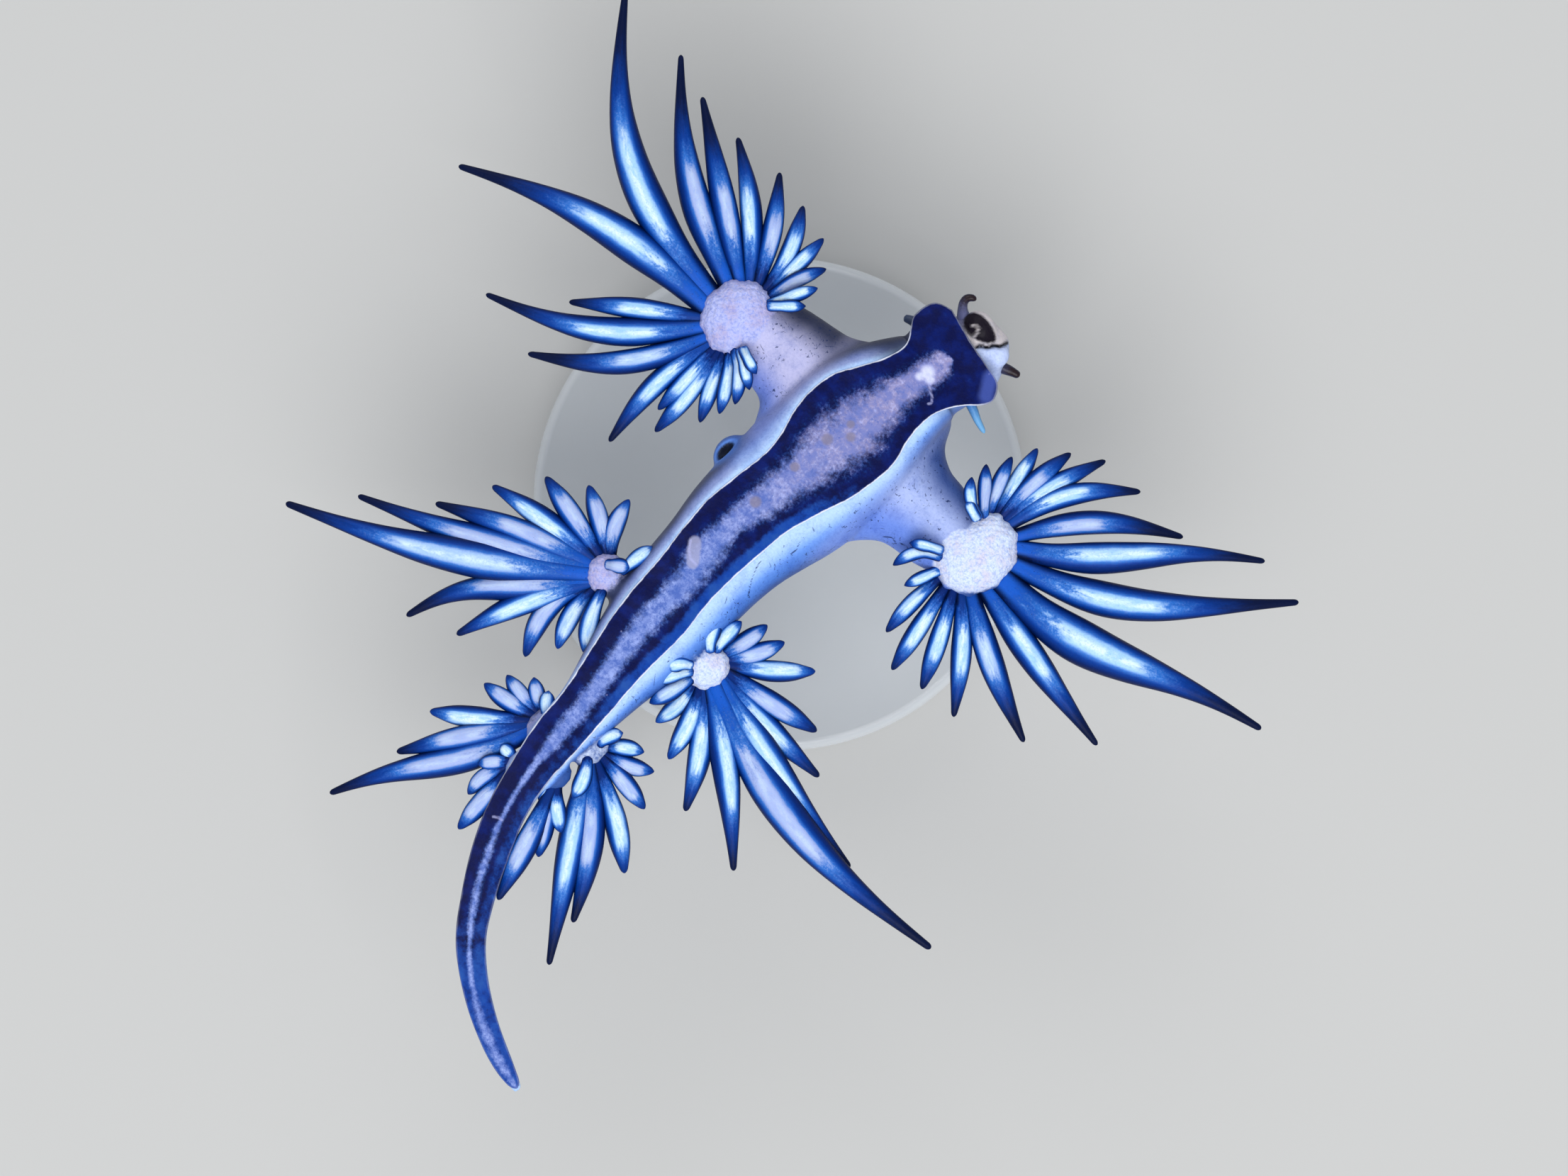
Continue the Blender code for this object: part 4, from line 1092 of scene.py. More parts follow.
@dataclass(frozen=True)
class CerataFinish:
    """Cerata: navy tips, navy edges deepened with painted shade, royal roots with painted shade
    between them, and a bright silver-blue stripe on top.
    """

    ink: Colour = (0.0004, 0.0050, 0.038)
    navy: Colour = (0.001, 0.018, 0.145)
    royal: Colour = (0.001, 0.050, 0.34)
    web: Colour = (0.008, 0.098, 0.54)
    sky: Colour = (0.05, 0.26, 0.80)
    ice: Colour = (0.36, 0.62, 0.98)
    silver: Colour = (0.36, 0.42, 0.74)
    sugar: Colour = (0.30, 0.46, 0.88)
    white: Colour = (0.78, 0.94, 1.0)
    back: Colour = (0.20, 0.28, 0.44)
    streak_fineness: float = 2.4
    streak_stretch: float = 0.55
    streak_spread: float = 40.0
    grain_size: float = 0.085
    speck_size: float = 0.07
    bump_depth: float = 0.020
    film: float = 0.08
    glow: float = 0.05
    shine: float = 0.12

    def streaks(self, wire: Wiring) -> Socket:
        """Draw noise out along each ceras.

        Args:
            wire: its nodes.

        Returns:
            The noise's value, different on every ceras.
        """
        along = wire.times(wire.value_of("along"), wire.value_of("length"))
        spot = wire.add("ShaderNodeCombineXYZ", {
            "X": wire.times(wire.value_of("side"), self.streak_fineness),
            "Y": wire.times(along, self.streak_fineness * self.streak_stretch),
            "Z": wire.times(wire.value_of("own"), self.streak_spread)})
        feeds = {"Vector": spot.outputs[0], "Scale": 1.0, "Detail": 4.0, "Roughness": 0.65}
        return wire.add("ShaderNodeTexNoise", feeds).outputs["Fac"]

    def place(self, wire: Wiring) -> CerasPlace:
        """Measure a point against the bright stripe of its ceras.

        Args:
            wire: its nodes.

        Returns:
            How slender the ceras is and its own chance number; how far the point is ahead of the
            stripe's start and short of its end, off its middle and inside its edge; whether it
            faces up; and two noises.
        """
        length = wire.value_of("length")
        own = wire.value_of("own")
        slender = wire.step(length, 2.8, 9.0)
        streak = self.streaks(wire)
        grain = wire.noise(self.grain_size, 5.0, 0.75)
        ragged = wire.plus(wire.scaled(streak, 0.9, -0.45), wire.scaled(grain, 0.5, -0.25))
        start = wire.scaled(slender, -0.16, 0.32)
        start = wire.scaled(wire.value_of("lifted"), -0.24, start)
        end = wire.scaled(wire.value_of("hind"), 0.07, wire.step(length, 2.5, 7.5, 0.86, 0.66))
        end = wire.plus(end, wire.scaled(own, 0.08, -0.04))
        along = wire.value_of("along")
        off = wire.size_of(wire.plus(wire.value_of("side"), wire.scaled(own, 0.40, -0.20)))
        half = wire.scaled(slender, -0.20, 0.72)
        return CerasPlace(slender, own,
                          ahead=wire.minus(wire.scaled(ragged, 0.34, along), start),
                          behind=wire.minus(end, wire.scaled(ragged, -0.16, along)),
                          off=off, room=wire.minus(half, wire.scaled(ragged, 0.22, off)),
                          upper=wire.step(wire.value_of("up"), 0.0, 0.4),
                          streak=streak, grain=grain)

    def ground(self, wire: Wiring, at: CerasPlace) -> Socket:
        """Colour what lies around the stripe: roots, flanks, tip, outer edge and underside, with
        painted shade between the roots and along the outer edges.

        Args:
            wire: its nodes.
            at: where the point lies.

        Returns:
            The ground's colour.
        """
        roots = wire.blend(wire.step(at.slender, 0.1, 0.9), self.navy, self.web)
        # Near black off the middle of each root: painted shade in the gaps between neighbouring
        # roots
        roots = wire.blend(wire.step(at.off, 0.30, 0.85), roots, self.ink)
        flank = wire.times(wire.step(at.room, -0.40, 0.0), wire.step(at.behind, -0.26, 0.10),
                           at.upper)
        ground = wire.blend(flank, self.navy, self.royal)
        ground = wire.blend(wire.step(at.ahead, 0.02, -0.10), ground, roots)
        ground = wire.blend(wire.step(at.behind, 0.0, -0.24), ground, self.ink)
        # Dark outer edges: partly the cerata's own navy rim, partly painted shade where the section
        # turns down and neighbours overlap
        outer = wire.step(wire.size_of(wire.value_of("side")), 0.72, 0.98, 0.0, 0.75)
        ground = wire.blend(outer, ground, self.ink)
        under = wire.times(wire.step(wire.value_of("up"), -0.25, -0.6),
                           wire.step(at.behind, -0.12, 0.04), 0.9)
        return wire.blend(under, ground, self.back)

    def bright(self, wire: Wiring, at: CerasPlace, stripe: Socket, reach: Socket) -> Socket:
        """Colour the stripe, with a white core on the brighter cerata.

        Args:
            wire: its nodes.
            at: where the point lies.
            stripe: how much the point belongs to the stripe.
            reach: how much it lies between the stripe's start and end.

        Returns:
            The stripe's colour.
        """
        colour = wire.blend(wire.step(stripe, 0.45, 1.0), self.sky, self.ice)
        dusky = wire.scaled(wire.value_of("dusky"), -0.42, at.own)
        dull = wire.step(dusky, 0.05, 0.38, 0.85, 0.0)
        colour = wire.blend(wire.times(dull, wire.step(stripe, 0.4, 0.9)), colour, self.silver)
        core = wire.times(wire.step(at.room, 0.16, 0.50), wire.step(reach, 0.6, 1.0))
        glare = wire.times(core, wire.scaled(dull, -0.70, 0.90), wire.step(at.streak, 0.34, 0.62))
        colour = wire.blend(glare, colour, self.white)
        return wire.blend(wire.step(at.grain, 0.46, 0.70, 0.0, 0.55), colour, self.sugar)

    def material(self) -> Material:
        """Make the cerata's material.

        Returns:
            The material.
        """
        wire = Wiring("cerata_skin")
        at = self.place(wire)
        reach = wire.times(wire.step(at.ahead, -0.08, 0.18), wire.step(at.behind, -0.04, 0.16))
        stripe = wire.times(wire.step(at.room, -0.16, 0.26), reach, at.upper)
        colour = wire.blend(stripe, self.ground(wire, at), self.bright(wire, at, stripe, reach))
        specks = wire.times(wire.step(wire.noise(self.speck_size, 2.0), 0.66, 0.73),
                            wire.step(at.ahead, 0.30, -0.02), 0.8)
        colour = wire.blend(specks, colour, self.navy)
        normal = wire.bump(wire.scaled(at.streak, 1.2, at.grain), self.bump_depth)
        rough = wire.step(stripe, 0.0, 1.0, 0.34, 0.42)
        return wire.wet(colour, rough, normal, self.film, self.glow, self.shine)


@dataclass(frozen=True)
class FeelerFinish:
    """A feeler, coloured from its root to its tip, with painted shade along its sides."""

    name: str
    root: Colour
    tip: Colour
    # Colour of the painted shade along the feeler's sides
    edge: Colour = (0.02, 0.04, 0.12)
    grain_size: float = 0.08
    bump_depth: float = 0.015
    roughness: float = 0.36
    film: float = 0.30
    glow: float = 0.10

    def material(self) -> Material:
        """Make the feeler's material.

        Returns:
            The material.
        """
        wire = Wiring(self.name)
        grain = wire.noise(self.grain_size, 4.0, 0.65)
        share = wire.plus(wire.value_of("along"), wire.scaled(grain, 0.4, -0.2))
        colour = wire.blend(wire.step(share, 0.25, 0.75), self.root, self.tip)
        # Painted shade along both sides, where the round feeler turns away from the light above
        edge = wire.step(wire.size_of(wire.value_of("side")), 0.6, 1.0, 0.0, 0.5)
        colour = wire.blend(edge, colour, self.edge)
        normal = wire.bump(grain, self.bump_depth)
        return wire.wet(colour, self.roughness, normal, self.film, self.glow)


@dataclass(frozen=True)
class AcrylicFinish:
    """Polished clear acrylic, a little milkier where an edge gathers the light."""

    tint: Colour = (0.80, 0.84, 0.88)
    clearness: float = 0.70
    edge_clearness: float = 0.52
    edge_fade: float = 1.03
    haze_size: float = 2.5
    wave_size: float = 6.0
    wave_depth: float = 0.004

    def material(self, rim: float) -> Material:
        """Make the stand's material.

        Args:
            rim: distance in metres from the upright axis where the edge starts.

        Returns:
            The material, with very faint polishing marks.
        """
        wire = Wiring("clear_acrylic")
        x, y = wire.add("ShaderNodeSeparateXYZ", {0: wire.place}).outputs[:2]
        from_axis = wire.calc("SQRT", wire.plus(wire.times(x, x), wire.times(y, y)))
        edge = wire.step(from_axis, rim, rim * self.edge_fade)
        haze = wire.noise(self.haze_size, 3.0, 0.5)
        return wire.finish({
            "Base Color": self.tint, "IOR": ACRYLIC_IOR,
            "Roughness": wire.step(haze, 0.3, 0.8, 0.03, 0.09),
            "Normal": wire.bump(wire.noise(self.wave_size, 2.0), self.wave_depth),
            "Alpha": wire.scaled(edge, self.clearness - self.edge_clearness, 1 - self.clearness)})


@dataclass(frozen=True)
class FloorFinish:
    """A plain pale floor."""

    colour: Colour = (0.52, 0.52, 0.51)
    roughness: float = 0.75

    def material(self) -> Material:
        """Make the floor's material."""
        return Wiring("pale_floor").finish({"Base Color": self.colour, "Roughness": self.roughness})


class SweepTree(Nodes):
    """Geometry Nodes that sweep an oval section along every line of a curve object."""

    def __init__(self) -> None:
        """Build the tree once, for every cluster and feeler."""
        super().__init__(bpy.data.node_groups.new("sweep_oval", "GeometryNodeTree"))
        self.given = self.add("NodeGroupInput")
        self.place = self.add("GeometryNodeSplineParameter").outputs["Factor"]
        face = self.tree.interface
        face.new_socket("Geometry", in_out="INPUT", socket_type="NodeSocketGeometry")
        self.sockets = {}
        for name, kind, value in (("Sides", "NodeSocketInt", 20),
                                  ("Flatness", "NodeSocketFloat", 1.0),
                                  ("Seed", "NodeSocketInt", 7),
                                  ("Material", "NodeSocketMaterial", None)):
            socket = face.new_socket(name, in_out="INPUT", socket_type=kind)
            if value is not None:
                socket.default_value = value
            self.sockets[name] = socket.identifier
        face.new_socket("Geometry", in_out="OUTPUT", socket_type="NodeSocketGeometry")
        self._wire()

    def _keep(self, geometry: Socket, name: str, value: Socket, domain: str = "POINT") -> Socket:
        """Store a number on the geometry.

        Args:
            geometry: where it comes from.
            name: what the number is kept under.
            value: the number.
            domain: whether it is kept on points or on whole curves.

        Returns:
            The geometry with the number.
        """
        feeds = {"Geometry": geometry, "Name": name, "Value": value}
        return self.add("GeometryNodeStoreNamedAttribute", feeds, data_type="FLOAT",
                        domain=domain).outputs[0]

    def _path(self) -> Socket:
        """Keep each line's place along, length and chance number on its points.

        Returns:
            The lines, their sections kept upright.
        """
        path = self.add("GeometryNodeSetCurveNormal", {"Curve": self.given.outputs["Geometry"]},
                        mode="Z_UP").outputs[0]
        path = self._keep(path, "along", self.place)
        length = self.add("GeometryNodeSplineLength").outputs["Length"]
        path = self._keep(path, "length", length, "CURVE")
        feeds = {"ID": self.add("GeometryNodeInputIndex").outputs[0],
                 "Seed": self.given.outputs["Seed"]}
        chance = self.add("FunctionNodeRandomValue", feeds, data_type="FLOAT").outputs[1]
        return self._keep(path, "own", chance, "CURVE")

    def _oval(self) -> Socket:
        """Draw the section, its points knowing how far to the side and how far up they lie.

        Returns:
            The oval, with a half width of 1.
        """
        feeds = {"Radius": 1.0, "Resolution": self.given.outputs["Sides"]}
        oval = self.add("GeometryNodeCurvePrimitiveCircle", feeds, mode="RADIUS").outputs["Curve"]
        turn = self.add("ShaderNodeMath", {0: self.place, 1: -2 * math.pi},
                        operation="MULTIPLY").outputs[0]
        for name, operation in (("side", "COSINE"), ("up", "SINE")):
            part = self.add("ShaderNodeMath", {0: turn}, operation=operation).outputs[0]
            oval = self._keep(oval, name, part)
        feeds = {"X": 1.0, "Y": self.given.outputs["Flatness"], "Z": 1.0}
        scale = self.add("ShaderNodeCombineXYZ", feeds).outputs[0]
        return self.add("GeometryNodeTransform", {"Geometry": oval, "Scale": scale}).outputs[0]

    def _wire(self) -> None:
        """Join the nodes from the input to Realize Instances and Set Material."""
        swept = self.add("GeometryNodeCurveToMesh", {
            "Curve": self._path(), "Profile Curve": self._oval(),
            "Scale": self.add("GeometryNodeInputRadius").outputs[0], "Fill Caps": True})
        soft = self.add("GeometryNodeSetShadeSmooth", {"Geometry": swept.outputs[0]})
        realized = self.add("GeometryNodeRealizeInstances", {"Geometry": soft.outputs[0]})
        dressed = self.add("GeometryNodeSetMaterial", {
            "Geometry": realized.outputs[0], "Material": self.given.outputs["Material"]})
        self.add("NodeGroupOutput", {0: dressed.outputs[0]})

    def sweep(self, name: str, paths: Sequence[Array], sides: int, flatness: float,
              material: Material) -> Thing:
        """Sweep ovals along paths and keep the result as one plain mesh piece.

        Args:
            name: the piece's name.
            paths: for each line, rows of x, y, z and radius.
            sides: points around each section.
            flatness: height of a section as a share of its width.
            material: the piece's material.

        Returns:
            The finished piece, in metres at the origin.
        """
        curve = bpy.data.curves.new(name + "_paths", "CURVE")
        curve.dimensions = "3D"
        for path in paths:
            spline = curve.splines.new("POLY")
            spline.points.add(len(path) - 1)
            places = np.column_stack((path[:, :3], np.ones(len(path))))
            spline.points.foreach_set("co", places.ravel())
            spline.points.foreach_set("radius", path[:, 3])
        carrier = put_in_scene(name + "_paths", curve)
        modifier = carrier.modifiers.new("sweep", "NODES")
        modifier.node_group = self.tree
        modifier[self.sockets["Sides"]] = sides
        modifier[self.sockets["Flatness"]] = flatness
        modifier[self.sockets["Material"]] = material
        mesh = plain_mesh(carrier)
        mesh.name = name
        set_points(mesh, points_of(mesh) * MM)
        return put_in_scene(name, mesh)


@dataclass
class Piece:
    """A finished piece, its slot name and the CAD nodes it stands for."""

    thing: Thing
    slot: str
    nodes: tuple[str, ...]

    def settle(self) -> None:
        """Let the piece ride on the body and stand for its CAD nodes."""
        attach(self.thing, BODY_NAME)
        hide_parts(*self.nodes)
        count = sum(len(p.vertices) - 2 for p in self.thing.data.polygons)
        LOG.info("%s: %d triangles, stands for %s", self.thing.name, count, ", ".join(self.nodes))


@dataclass
class Skin:
    """One skin over head, trunk, tail, arms and pads, painted by where each point lies."""

    midline: Midline
    voxel: float = 0.085
    rounds: int = 12
    melt_rounds: int = 60
    count: int = 56
    sole_sink: float = 0.07
    pad_rise: float = 0.82
    pad_square: float = 2.6
    pad_ripples: int = 19
    ripple_depth: float = 0.035
    lump_height: float = 0.028
    widest_level: float = 0.45
    slit_depth: float = 0.26
    patch_depth: float = 0.07
    fold_height: float = 0.05
    pit_depth: float = 0.24
    pit_push: float = 0.12
    pit_rim: float = 0.06
    rear_of_right_arm: tuple[float, float, float] = (0.62, 0.98, 0.80)
    rear_of_left_arm: tuple[float, float, float] = (0.46, 0.80, 0.78)
    # ice, sky, steel and dusk grade the flanks outwards, partly their own blue and partly painted
    # shade; the charcoal and slate tints are painted shade
    ice: Colour = (0.48, 0.68, 1.0)
    sky: Colour = (0.17, 0.37, 0.93)
    steel: Colour = (0.07, 0.20, 0.64)
    dusk: Colour = (0.028, 0.085, 0.32)
    grey_lilac: Colour = (0.30, 0.33, 0.60)
    charcoal_shade: Colour = (0.010, 0.018, 0.055)
    slate_shade: Colour = (0.022, 0.065, 0.26)
    rosy_silver: Colour = (0.53, 0.53, 0.80)
    blue_silver: Colour = (0.43, 0.52, 0.86)
    azure: Colour = (0.07, 0.19, 0.72)
    pad_dim: Colour = (0.50, 0.54, 0.88)
    pad_bright: Colour = (0.70, 0.80, 1.0)
    back_silver: Colour = (0.26, 0.33, 0.48)
    lip_dark: Colour = (0.006, 0.003, 0.010)
    lip_cream: Colour = (0.66, 0.60, 0.60)
    lip_shade: Colour = (0.10, 0.11, 0.24)
    lip_white: Colour = (0.56, 0.66, 0.96)
    slit_and_pit_shade: Colour = (0.002, 0.002, 0.008)
    tint: Array = field(default_factory=lambda: np.zeros((0, 3)))

    def trunk_ring(self, s: float) -> Array:
        """Draw a section of trunk or tail: flat under the sole, rounded elsewhere.

        Args:
            s: its distance along the midline.

        Returns:
            Its points, one row each.
        """
        row = self.midline.rows(s)
        level, depth = row[5], row[6]
        top, bottom = level - self.sole_sink, level - depth
        middle = level - self.widest_level * depth
        angle = np.linspace(0, 2 * math.pi, self.count, endpoint=False)
        sweep = np.sign(np.cos(angle)) * np.abs(np.cos(angle)) ** 0.85
        reach = np.where(sweep > 0, row[3], row[4])
        across = sweep * reach
        foot = 0.96 * row[2]
        out = np.clip((np.abs(across) - foot) / np.maximum(reach - foot, 0.15), 0, 1)
        upper = middle + (top - middle) * np.sqrt(1 - out**2)
        lower = middle - (middle - bottom) * np.abs(np.sin(angle)) ** 0.87
        height = np.where(np.sin(angle) >= 0, upper, lower)
        plan = row[:2] + across[:, None] * self.midline.sides(s)
        return np.column_stack((plan, height))

    def shapes(self) -> list[Shape]:
        """Make every closed shape that the skin is drawn over.

        Returns:
            Trunk, head, arms, lips, papilla and pads.
        """
        s = np.arange(0.0, self.midline.length - 0.2, 0.3)
        made = [loft([self.trunk_ring(x) for x in s])]
        made.append(self.rows_shape(HEAD, lambda row: (row[4], row[5])))
        for arm in (ARM_RIGHT + ARM_END_RIGHT, ARM_LEFT + ARM_END_LEFT):
            made.append(self.rows_shape(
                arm, lambda row: (row[4] + row[5] / 2, row[4] - row[5] / 2)))
        made += [mound(*LIP_RIGHT), mound(*LIP_LEFT), mound(*PAPILLA)]
        for pad in PADS.values():
            radii = (pad.rim_x * 0.98, pad.rim_y * 0.98, pad.height * self.pad_rise)
            made.append(mound((pad.x, pad.y, pad.level), radii, self.pad_square, self.pad_ripples,
                              self.ripple_depth))
        return made

    def rows_shape(self, table: Rows, heights: Callable[[Array], tuple[float, float]]) -> Shape:
        """Make a smooth shape through rows of two edge points.

        Args:
            table: the rows, each starting with right x, y and left x, y.
            heights: what gives a row's top and bottom.

        Returns:
            The closed shape.
        """
        rows = smooth_through(range(len(table)), np.array(table),
                              np.linspace(0, len(table) - 1, 6 * len(table)))
        return loft([rounded_section(row[:2], row[2:4], *heights(row)) for row in rows])

    def build(self) -> Thing:
        """Fuse, carve and paint the skin.

        Returns:
            The finished piece.
        """
        mesh = fuse(self.shapes(), self.voxel, self.rounds)
        self.relax(mesh)
        self.carve(mesh)
        self.paint(mesh)
        set_points(mesh, points_of(mesh) * MM)
        mesh.polygons.foreach_set("use_smooth", np.ones(len(mesh.polygons), bool))
        mesh.materials.clear()
        mesh.materials.append(FleshFinish().material())
        mesh.name = "flesh"
        return put_in_scene("flesh", mesh)

    def relax(self, mesh: Mesh) -> None:
        """Melt the inner side of each pad into the flesh that carries it.

        Args:
            mesh: the fused skin.
        """
        points = points_of(mesh)
        edges = np.empty(len(mesh.edges) * 2, int)
        mesh.edges.foreach_get("vertices", edges)
        start, end = edges.reshape(-1, 2).T
        share = np.zeros(len(points))
        for place, pad in PADS.items():
            inward = -1 if place.startswith("right") else 1
            x = (points[:, 0] - pad.x) / pad.rim_x - 0.85 * inward
            gap = np.hypot(x / 0.85, (points[:, 1] - pad.y) / (1.15 * pad.rim_y))
            share = np.maximum(share, ease(1.0, 0.45, gap))
        degree = np.bincount(edges, minlength=len(points))
        for _ in range(self.melt_rounds):
            total = [np.bincount(start, points[end, k], len(points))
                     + np.bincount(end, points[start, k], len(points)) for k in range(3)]
            mean = np.column_stack(total) / degree[:, None]
            points += 0.5 * share[:, None] * (mean - points)
        set_points(mesh, points)

    def carve(self, mesh: Mesh) -> None:
        """Press in the mouth slit, the lip's folds and the genital pit, and roughen the pads.

        Args:
            mesh: the fused skin.
        """
        points = points_of(mesh)
        snout = ease(-8.9, -9.2, points[:, 1]) * ease(13.2, 13.6, points[:, 2])
        slit = ease(0.13, 0.0, distance_to(points, MOUTH_LINE)) * snout
        fold = ease(0.12, 0.0, distance_to(points, LIP_FOLD)) * snout
        patch = ease(-0.02, 0.10, inside_outline(points, LIP_PATCH)) * snout
        points[:, 2] += (-self.slit_depth * slit - self.patch_depth * patch
                         + self.fold_height * fold)
        gap = self.pit_gap(points)
        pit = ease(1.1, 0.2, gap)
        points[:, 0] -= self.pit_push * pit
        points[:, 2] -= self.pit_depth * pit
        rim = ease(0.5, 0.0, np.abs(gap - 1.4)) * (points[:, 0] > 2.0)
        points[:, 2] += self.pit_rim * rim
        pad = self.paint_pads(points)[0]
        lumps = (np.sin(17 * points[:, 0] + 2 * np.sin(3.1 * points[:, 1]))
                 * np.sin(18 * points[:, 1] + 2 * np.sin(3.7 * points[:, 0])))
        points += normals_of(mesh) * (self.lump_height * pad * lumps)[:, None]
        set_points(mesh, points)

    def place_of(self, points: Array) -> tuple[Array, Array]:
        """Find where each point lies beside the foot.

        Args:
            points: the skin's points.

        Returns:
            How far out it lies, from 0 at the foot's edge to 1 at the flank's, and how much it is
            on the animal's right.
        """
        s = np.arange(0.0, self.midline.length, 0.1)
        line = self.midline.rows(s)
        best = nearest_places(points, line)
        rows = line[best]
        lateral = ((points[:, :2] - rows[:, :2]) * self.midline.sides(s)[best]).sum(axis=1)
        reach = np.where(lateral > 0, rows[:, 3], rows[:, 4])
        out = (np.abs(lateral) - rows[:, 2]) / np.maximum(reach - rows[:, 2], 0.2)
        return np.clip(out, 0, 1), ease(-0.1, 0.1, lateral)

    def spread(self, share: Array, colour: Colour) -> None:
        """Blend a colour over the tint where share is 1."""
        share = np.clip(share, 0.0, 1.0)[:, None]
        self.tint = self.tint * (1 - share) + np.array(colour) * share

    def paint(self, mesh: Mesh) -> None:
        """Give every point its tint, partly painted shade, and say where it is a pad, creased or
        speckled.

        Args:
            mesh: the carved skin.
        """
        points = points_of(mesh)
        facing = normals_of(mesh)[:, 2]
        out, right = self.place_of(points)
        self.tint = np.tile(self.ice, (len(points), 1))
        self.paint_trunk(points, out, right)
        self.paint_arm(points, ARM_RIGHT, self.charcoal_shade, self.rosy_silver, self.rear_of_right_arm)
        self.paint_arm(points, ARM_LEFT, self.slate_shade, self.blue_silver, self.rear_of_left_arm)
        pad, grain = self.paint_pads(points)
        below = ease(0.05, -0.45, facing) * ease(-8.6, -8.0, points[:, 1])
        self.spread(below * 0.92, self.back_silver)
        self.paint_head(points, facing)
        self.paint_papilla(points)
        crease = np.min([distance_to(points, line) for line in CREASES], axis=0)
        store(mesh, "tint", self.tint)
        store(mesh, "grain", grain)
        store(mesh, "crease", np.minimum(crease, 1.0) + ease(0.3, -0.1, facing))
        store(mesh, "pad", pad * ease(-0.1, 0.3, facing))
        store(mesh, "speckled", self.speckle(points, out, right) * (1 - pad))

    def paint_trunk(self, points: Array, out: Array, right: Array) -> None:
        """Darken the flanks outwards, partly with painted shade, make the right one grey lilac, and
        paint shade on its outer part and the neck.

        Args:
            points: the skin's points.
            out: how far out each lies beside the foot.
            right: how much each is on the animal's right.
        """
        y = points[:, 1]
        # Lighter at the foot's edge and darker outwards: partly the flanks' own blue, partly painted
        # shade towards the silhouettes
        self.spread(ease(0.10, 0.65, out), self.sky)
        self.spread(ease(0.4, 0.85, out), self.steel)
        self.spread(ease(0.75, 1.0, out), self.dusk)
        # The right flank, on the side away from the key light: its own grey lilac near the foot,
        # then painted shade further out
        grey = right * (1 - 0.45 * ease(-4.5, -3.5, y) * ease(0.8, -0.2, y))
        self.spread(grey * ease(0.0, 0.35, out) * 0.75, self.grey_lilac)
        self.spread(grey * ease(0.35, 0.90, out) * 0.80, self.charcoal_shade)
        # Painted shade over the neck, under the front of the foot
        neck = ease(-5.6, -7.0, y) * ease(-9.4, -8.6, y)
        self.spread(neck * right * 0.9, self.charcoal_shade)
        self.spread(neck * (1 - right) * 0.6, self.slate_shade)

    def speckle(self, points: Array, out: Array, right: Array) -> Array:
        """Say where dark dust lies: on both arms and on the left flank.

        Args:
            points: the skin's points.
            out: how far out each lies beside the foot.
            right: how much each is on the animal's right.

        Returns:
            A share from 0 to 1 for each point.
        """
        x, y = points[:, 0], points[:, 1]
        arms = ease(2.2, 2.8, np.abs(x)) * ease(1.0, 0.0, y)
        arms *= 1 - 0.55 * ease(-3.0, -4.5, y) * (x < 0)
        flank = (1 - right) * ease(0.1, 0.3, out) * ease(-6.5, -5.0, y)
        return np.clip(arms + flank, 0, 1)

    def paint_arm(self, points: Array, table: Rows, front: Colour,
                  ridge: Colour, rear: tuple[float, float, float]) -> None:
        """Shade an arm from its dark front edge over silver to azure at the rear.

        Args:
            points: the skin's points.
            table: the arm's rows.
            front: colour of the painted shade along its front edge.
            ridge: colour along its middle.
            rear: where across the arm the azure starts and where it is full, and its strength.
        """
        rows = np.array(sorted(table, key=lambda row: row[0]))
        x, y = points[:, 0], points[:, 1]
        front_y = np.interp(x, rows[:, 0], rows[:, 1])
        rear_y = np.interp(x, rows[:, 0], rows[:, 3])
        across = (y - front_y) / (rear_y - front_y)
        out = x * math.copysign(1, table[-1][0])
        arm = ease(1.9, 2.9, out) * ease(7.5, 6.5, out)
        arm *= ease(-0.3, 0.0, across) * ease(1.3, 1.0, across)
        self.spread(arm, ridge)
        # Painted shade along the front edge, which faces away from the key light
        self.spread(arm * ease(0.44, 0.08, across) * 0.95, front)
        self.spread(arm * ease(rear[0], rear[1], across) * rear[2], self.azure)

    def paint_pads(self, points: Array) -> tuple[Array, Array]:
        """Find the grainy pads.

        Args:
            points: the skin's points.

        Returns:
            How much each point belongs to a pad, and the pad's colour there.
        """
        share = np.zeros(len(points))
        colour = np.tile(self.pad_bright, (len(points), 1))
        for place, pad in PADS.items():
            if place in PAD_PATCHES:
                own = ease(-0.42, 0.06, inside_outline(points, PAD_PATCHES[place]))
            else:
                across = (points[:, 0] - pad.x) / pad.rim_x
                gap = np.abs(across) ** 2.4 + np.abs((points[:, 1] - pad.y) / pad.rim_y) ** 2.4
                inner = -across if place.startswith("right") else across
                own = ease(1.25, 0.60, gap) * (1 - 0.85 * ease(0.0, 0.9, inner))
                own *= PAD_GRAIN.get(place, 1.0)
            if place.startswith("right"):
                colour[own > 0.01] = self.pad_dim
            share = np.maximum(share, own)
        return share, colour

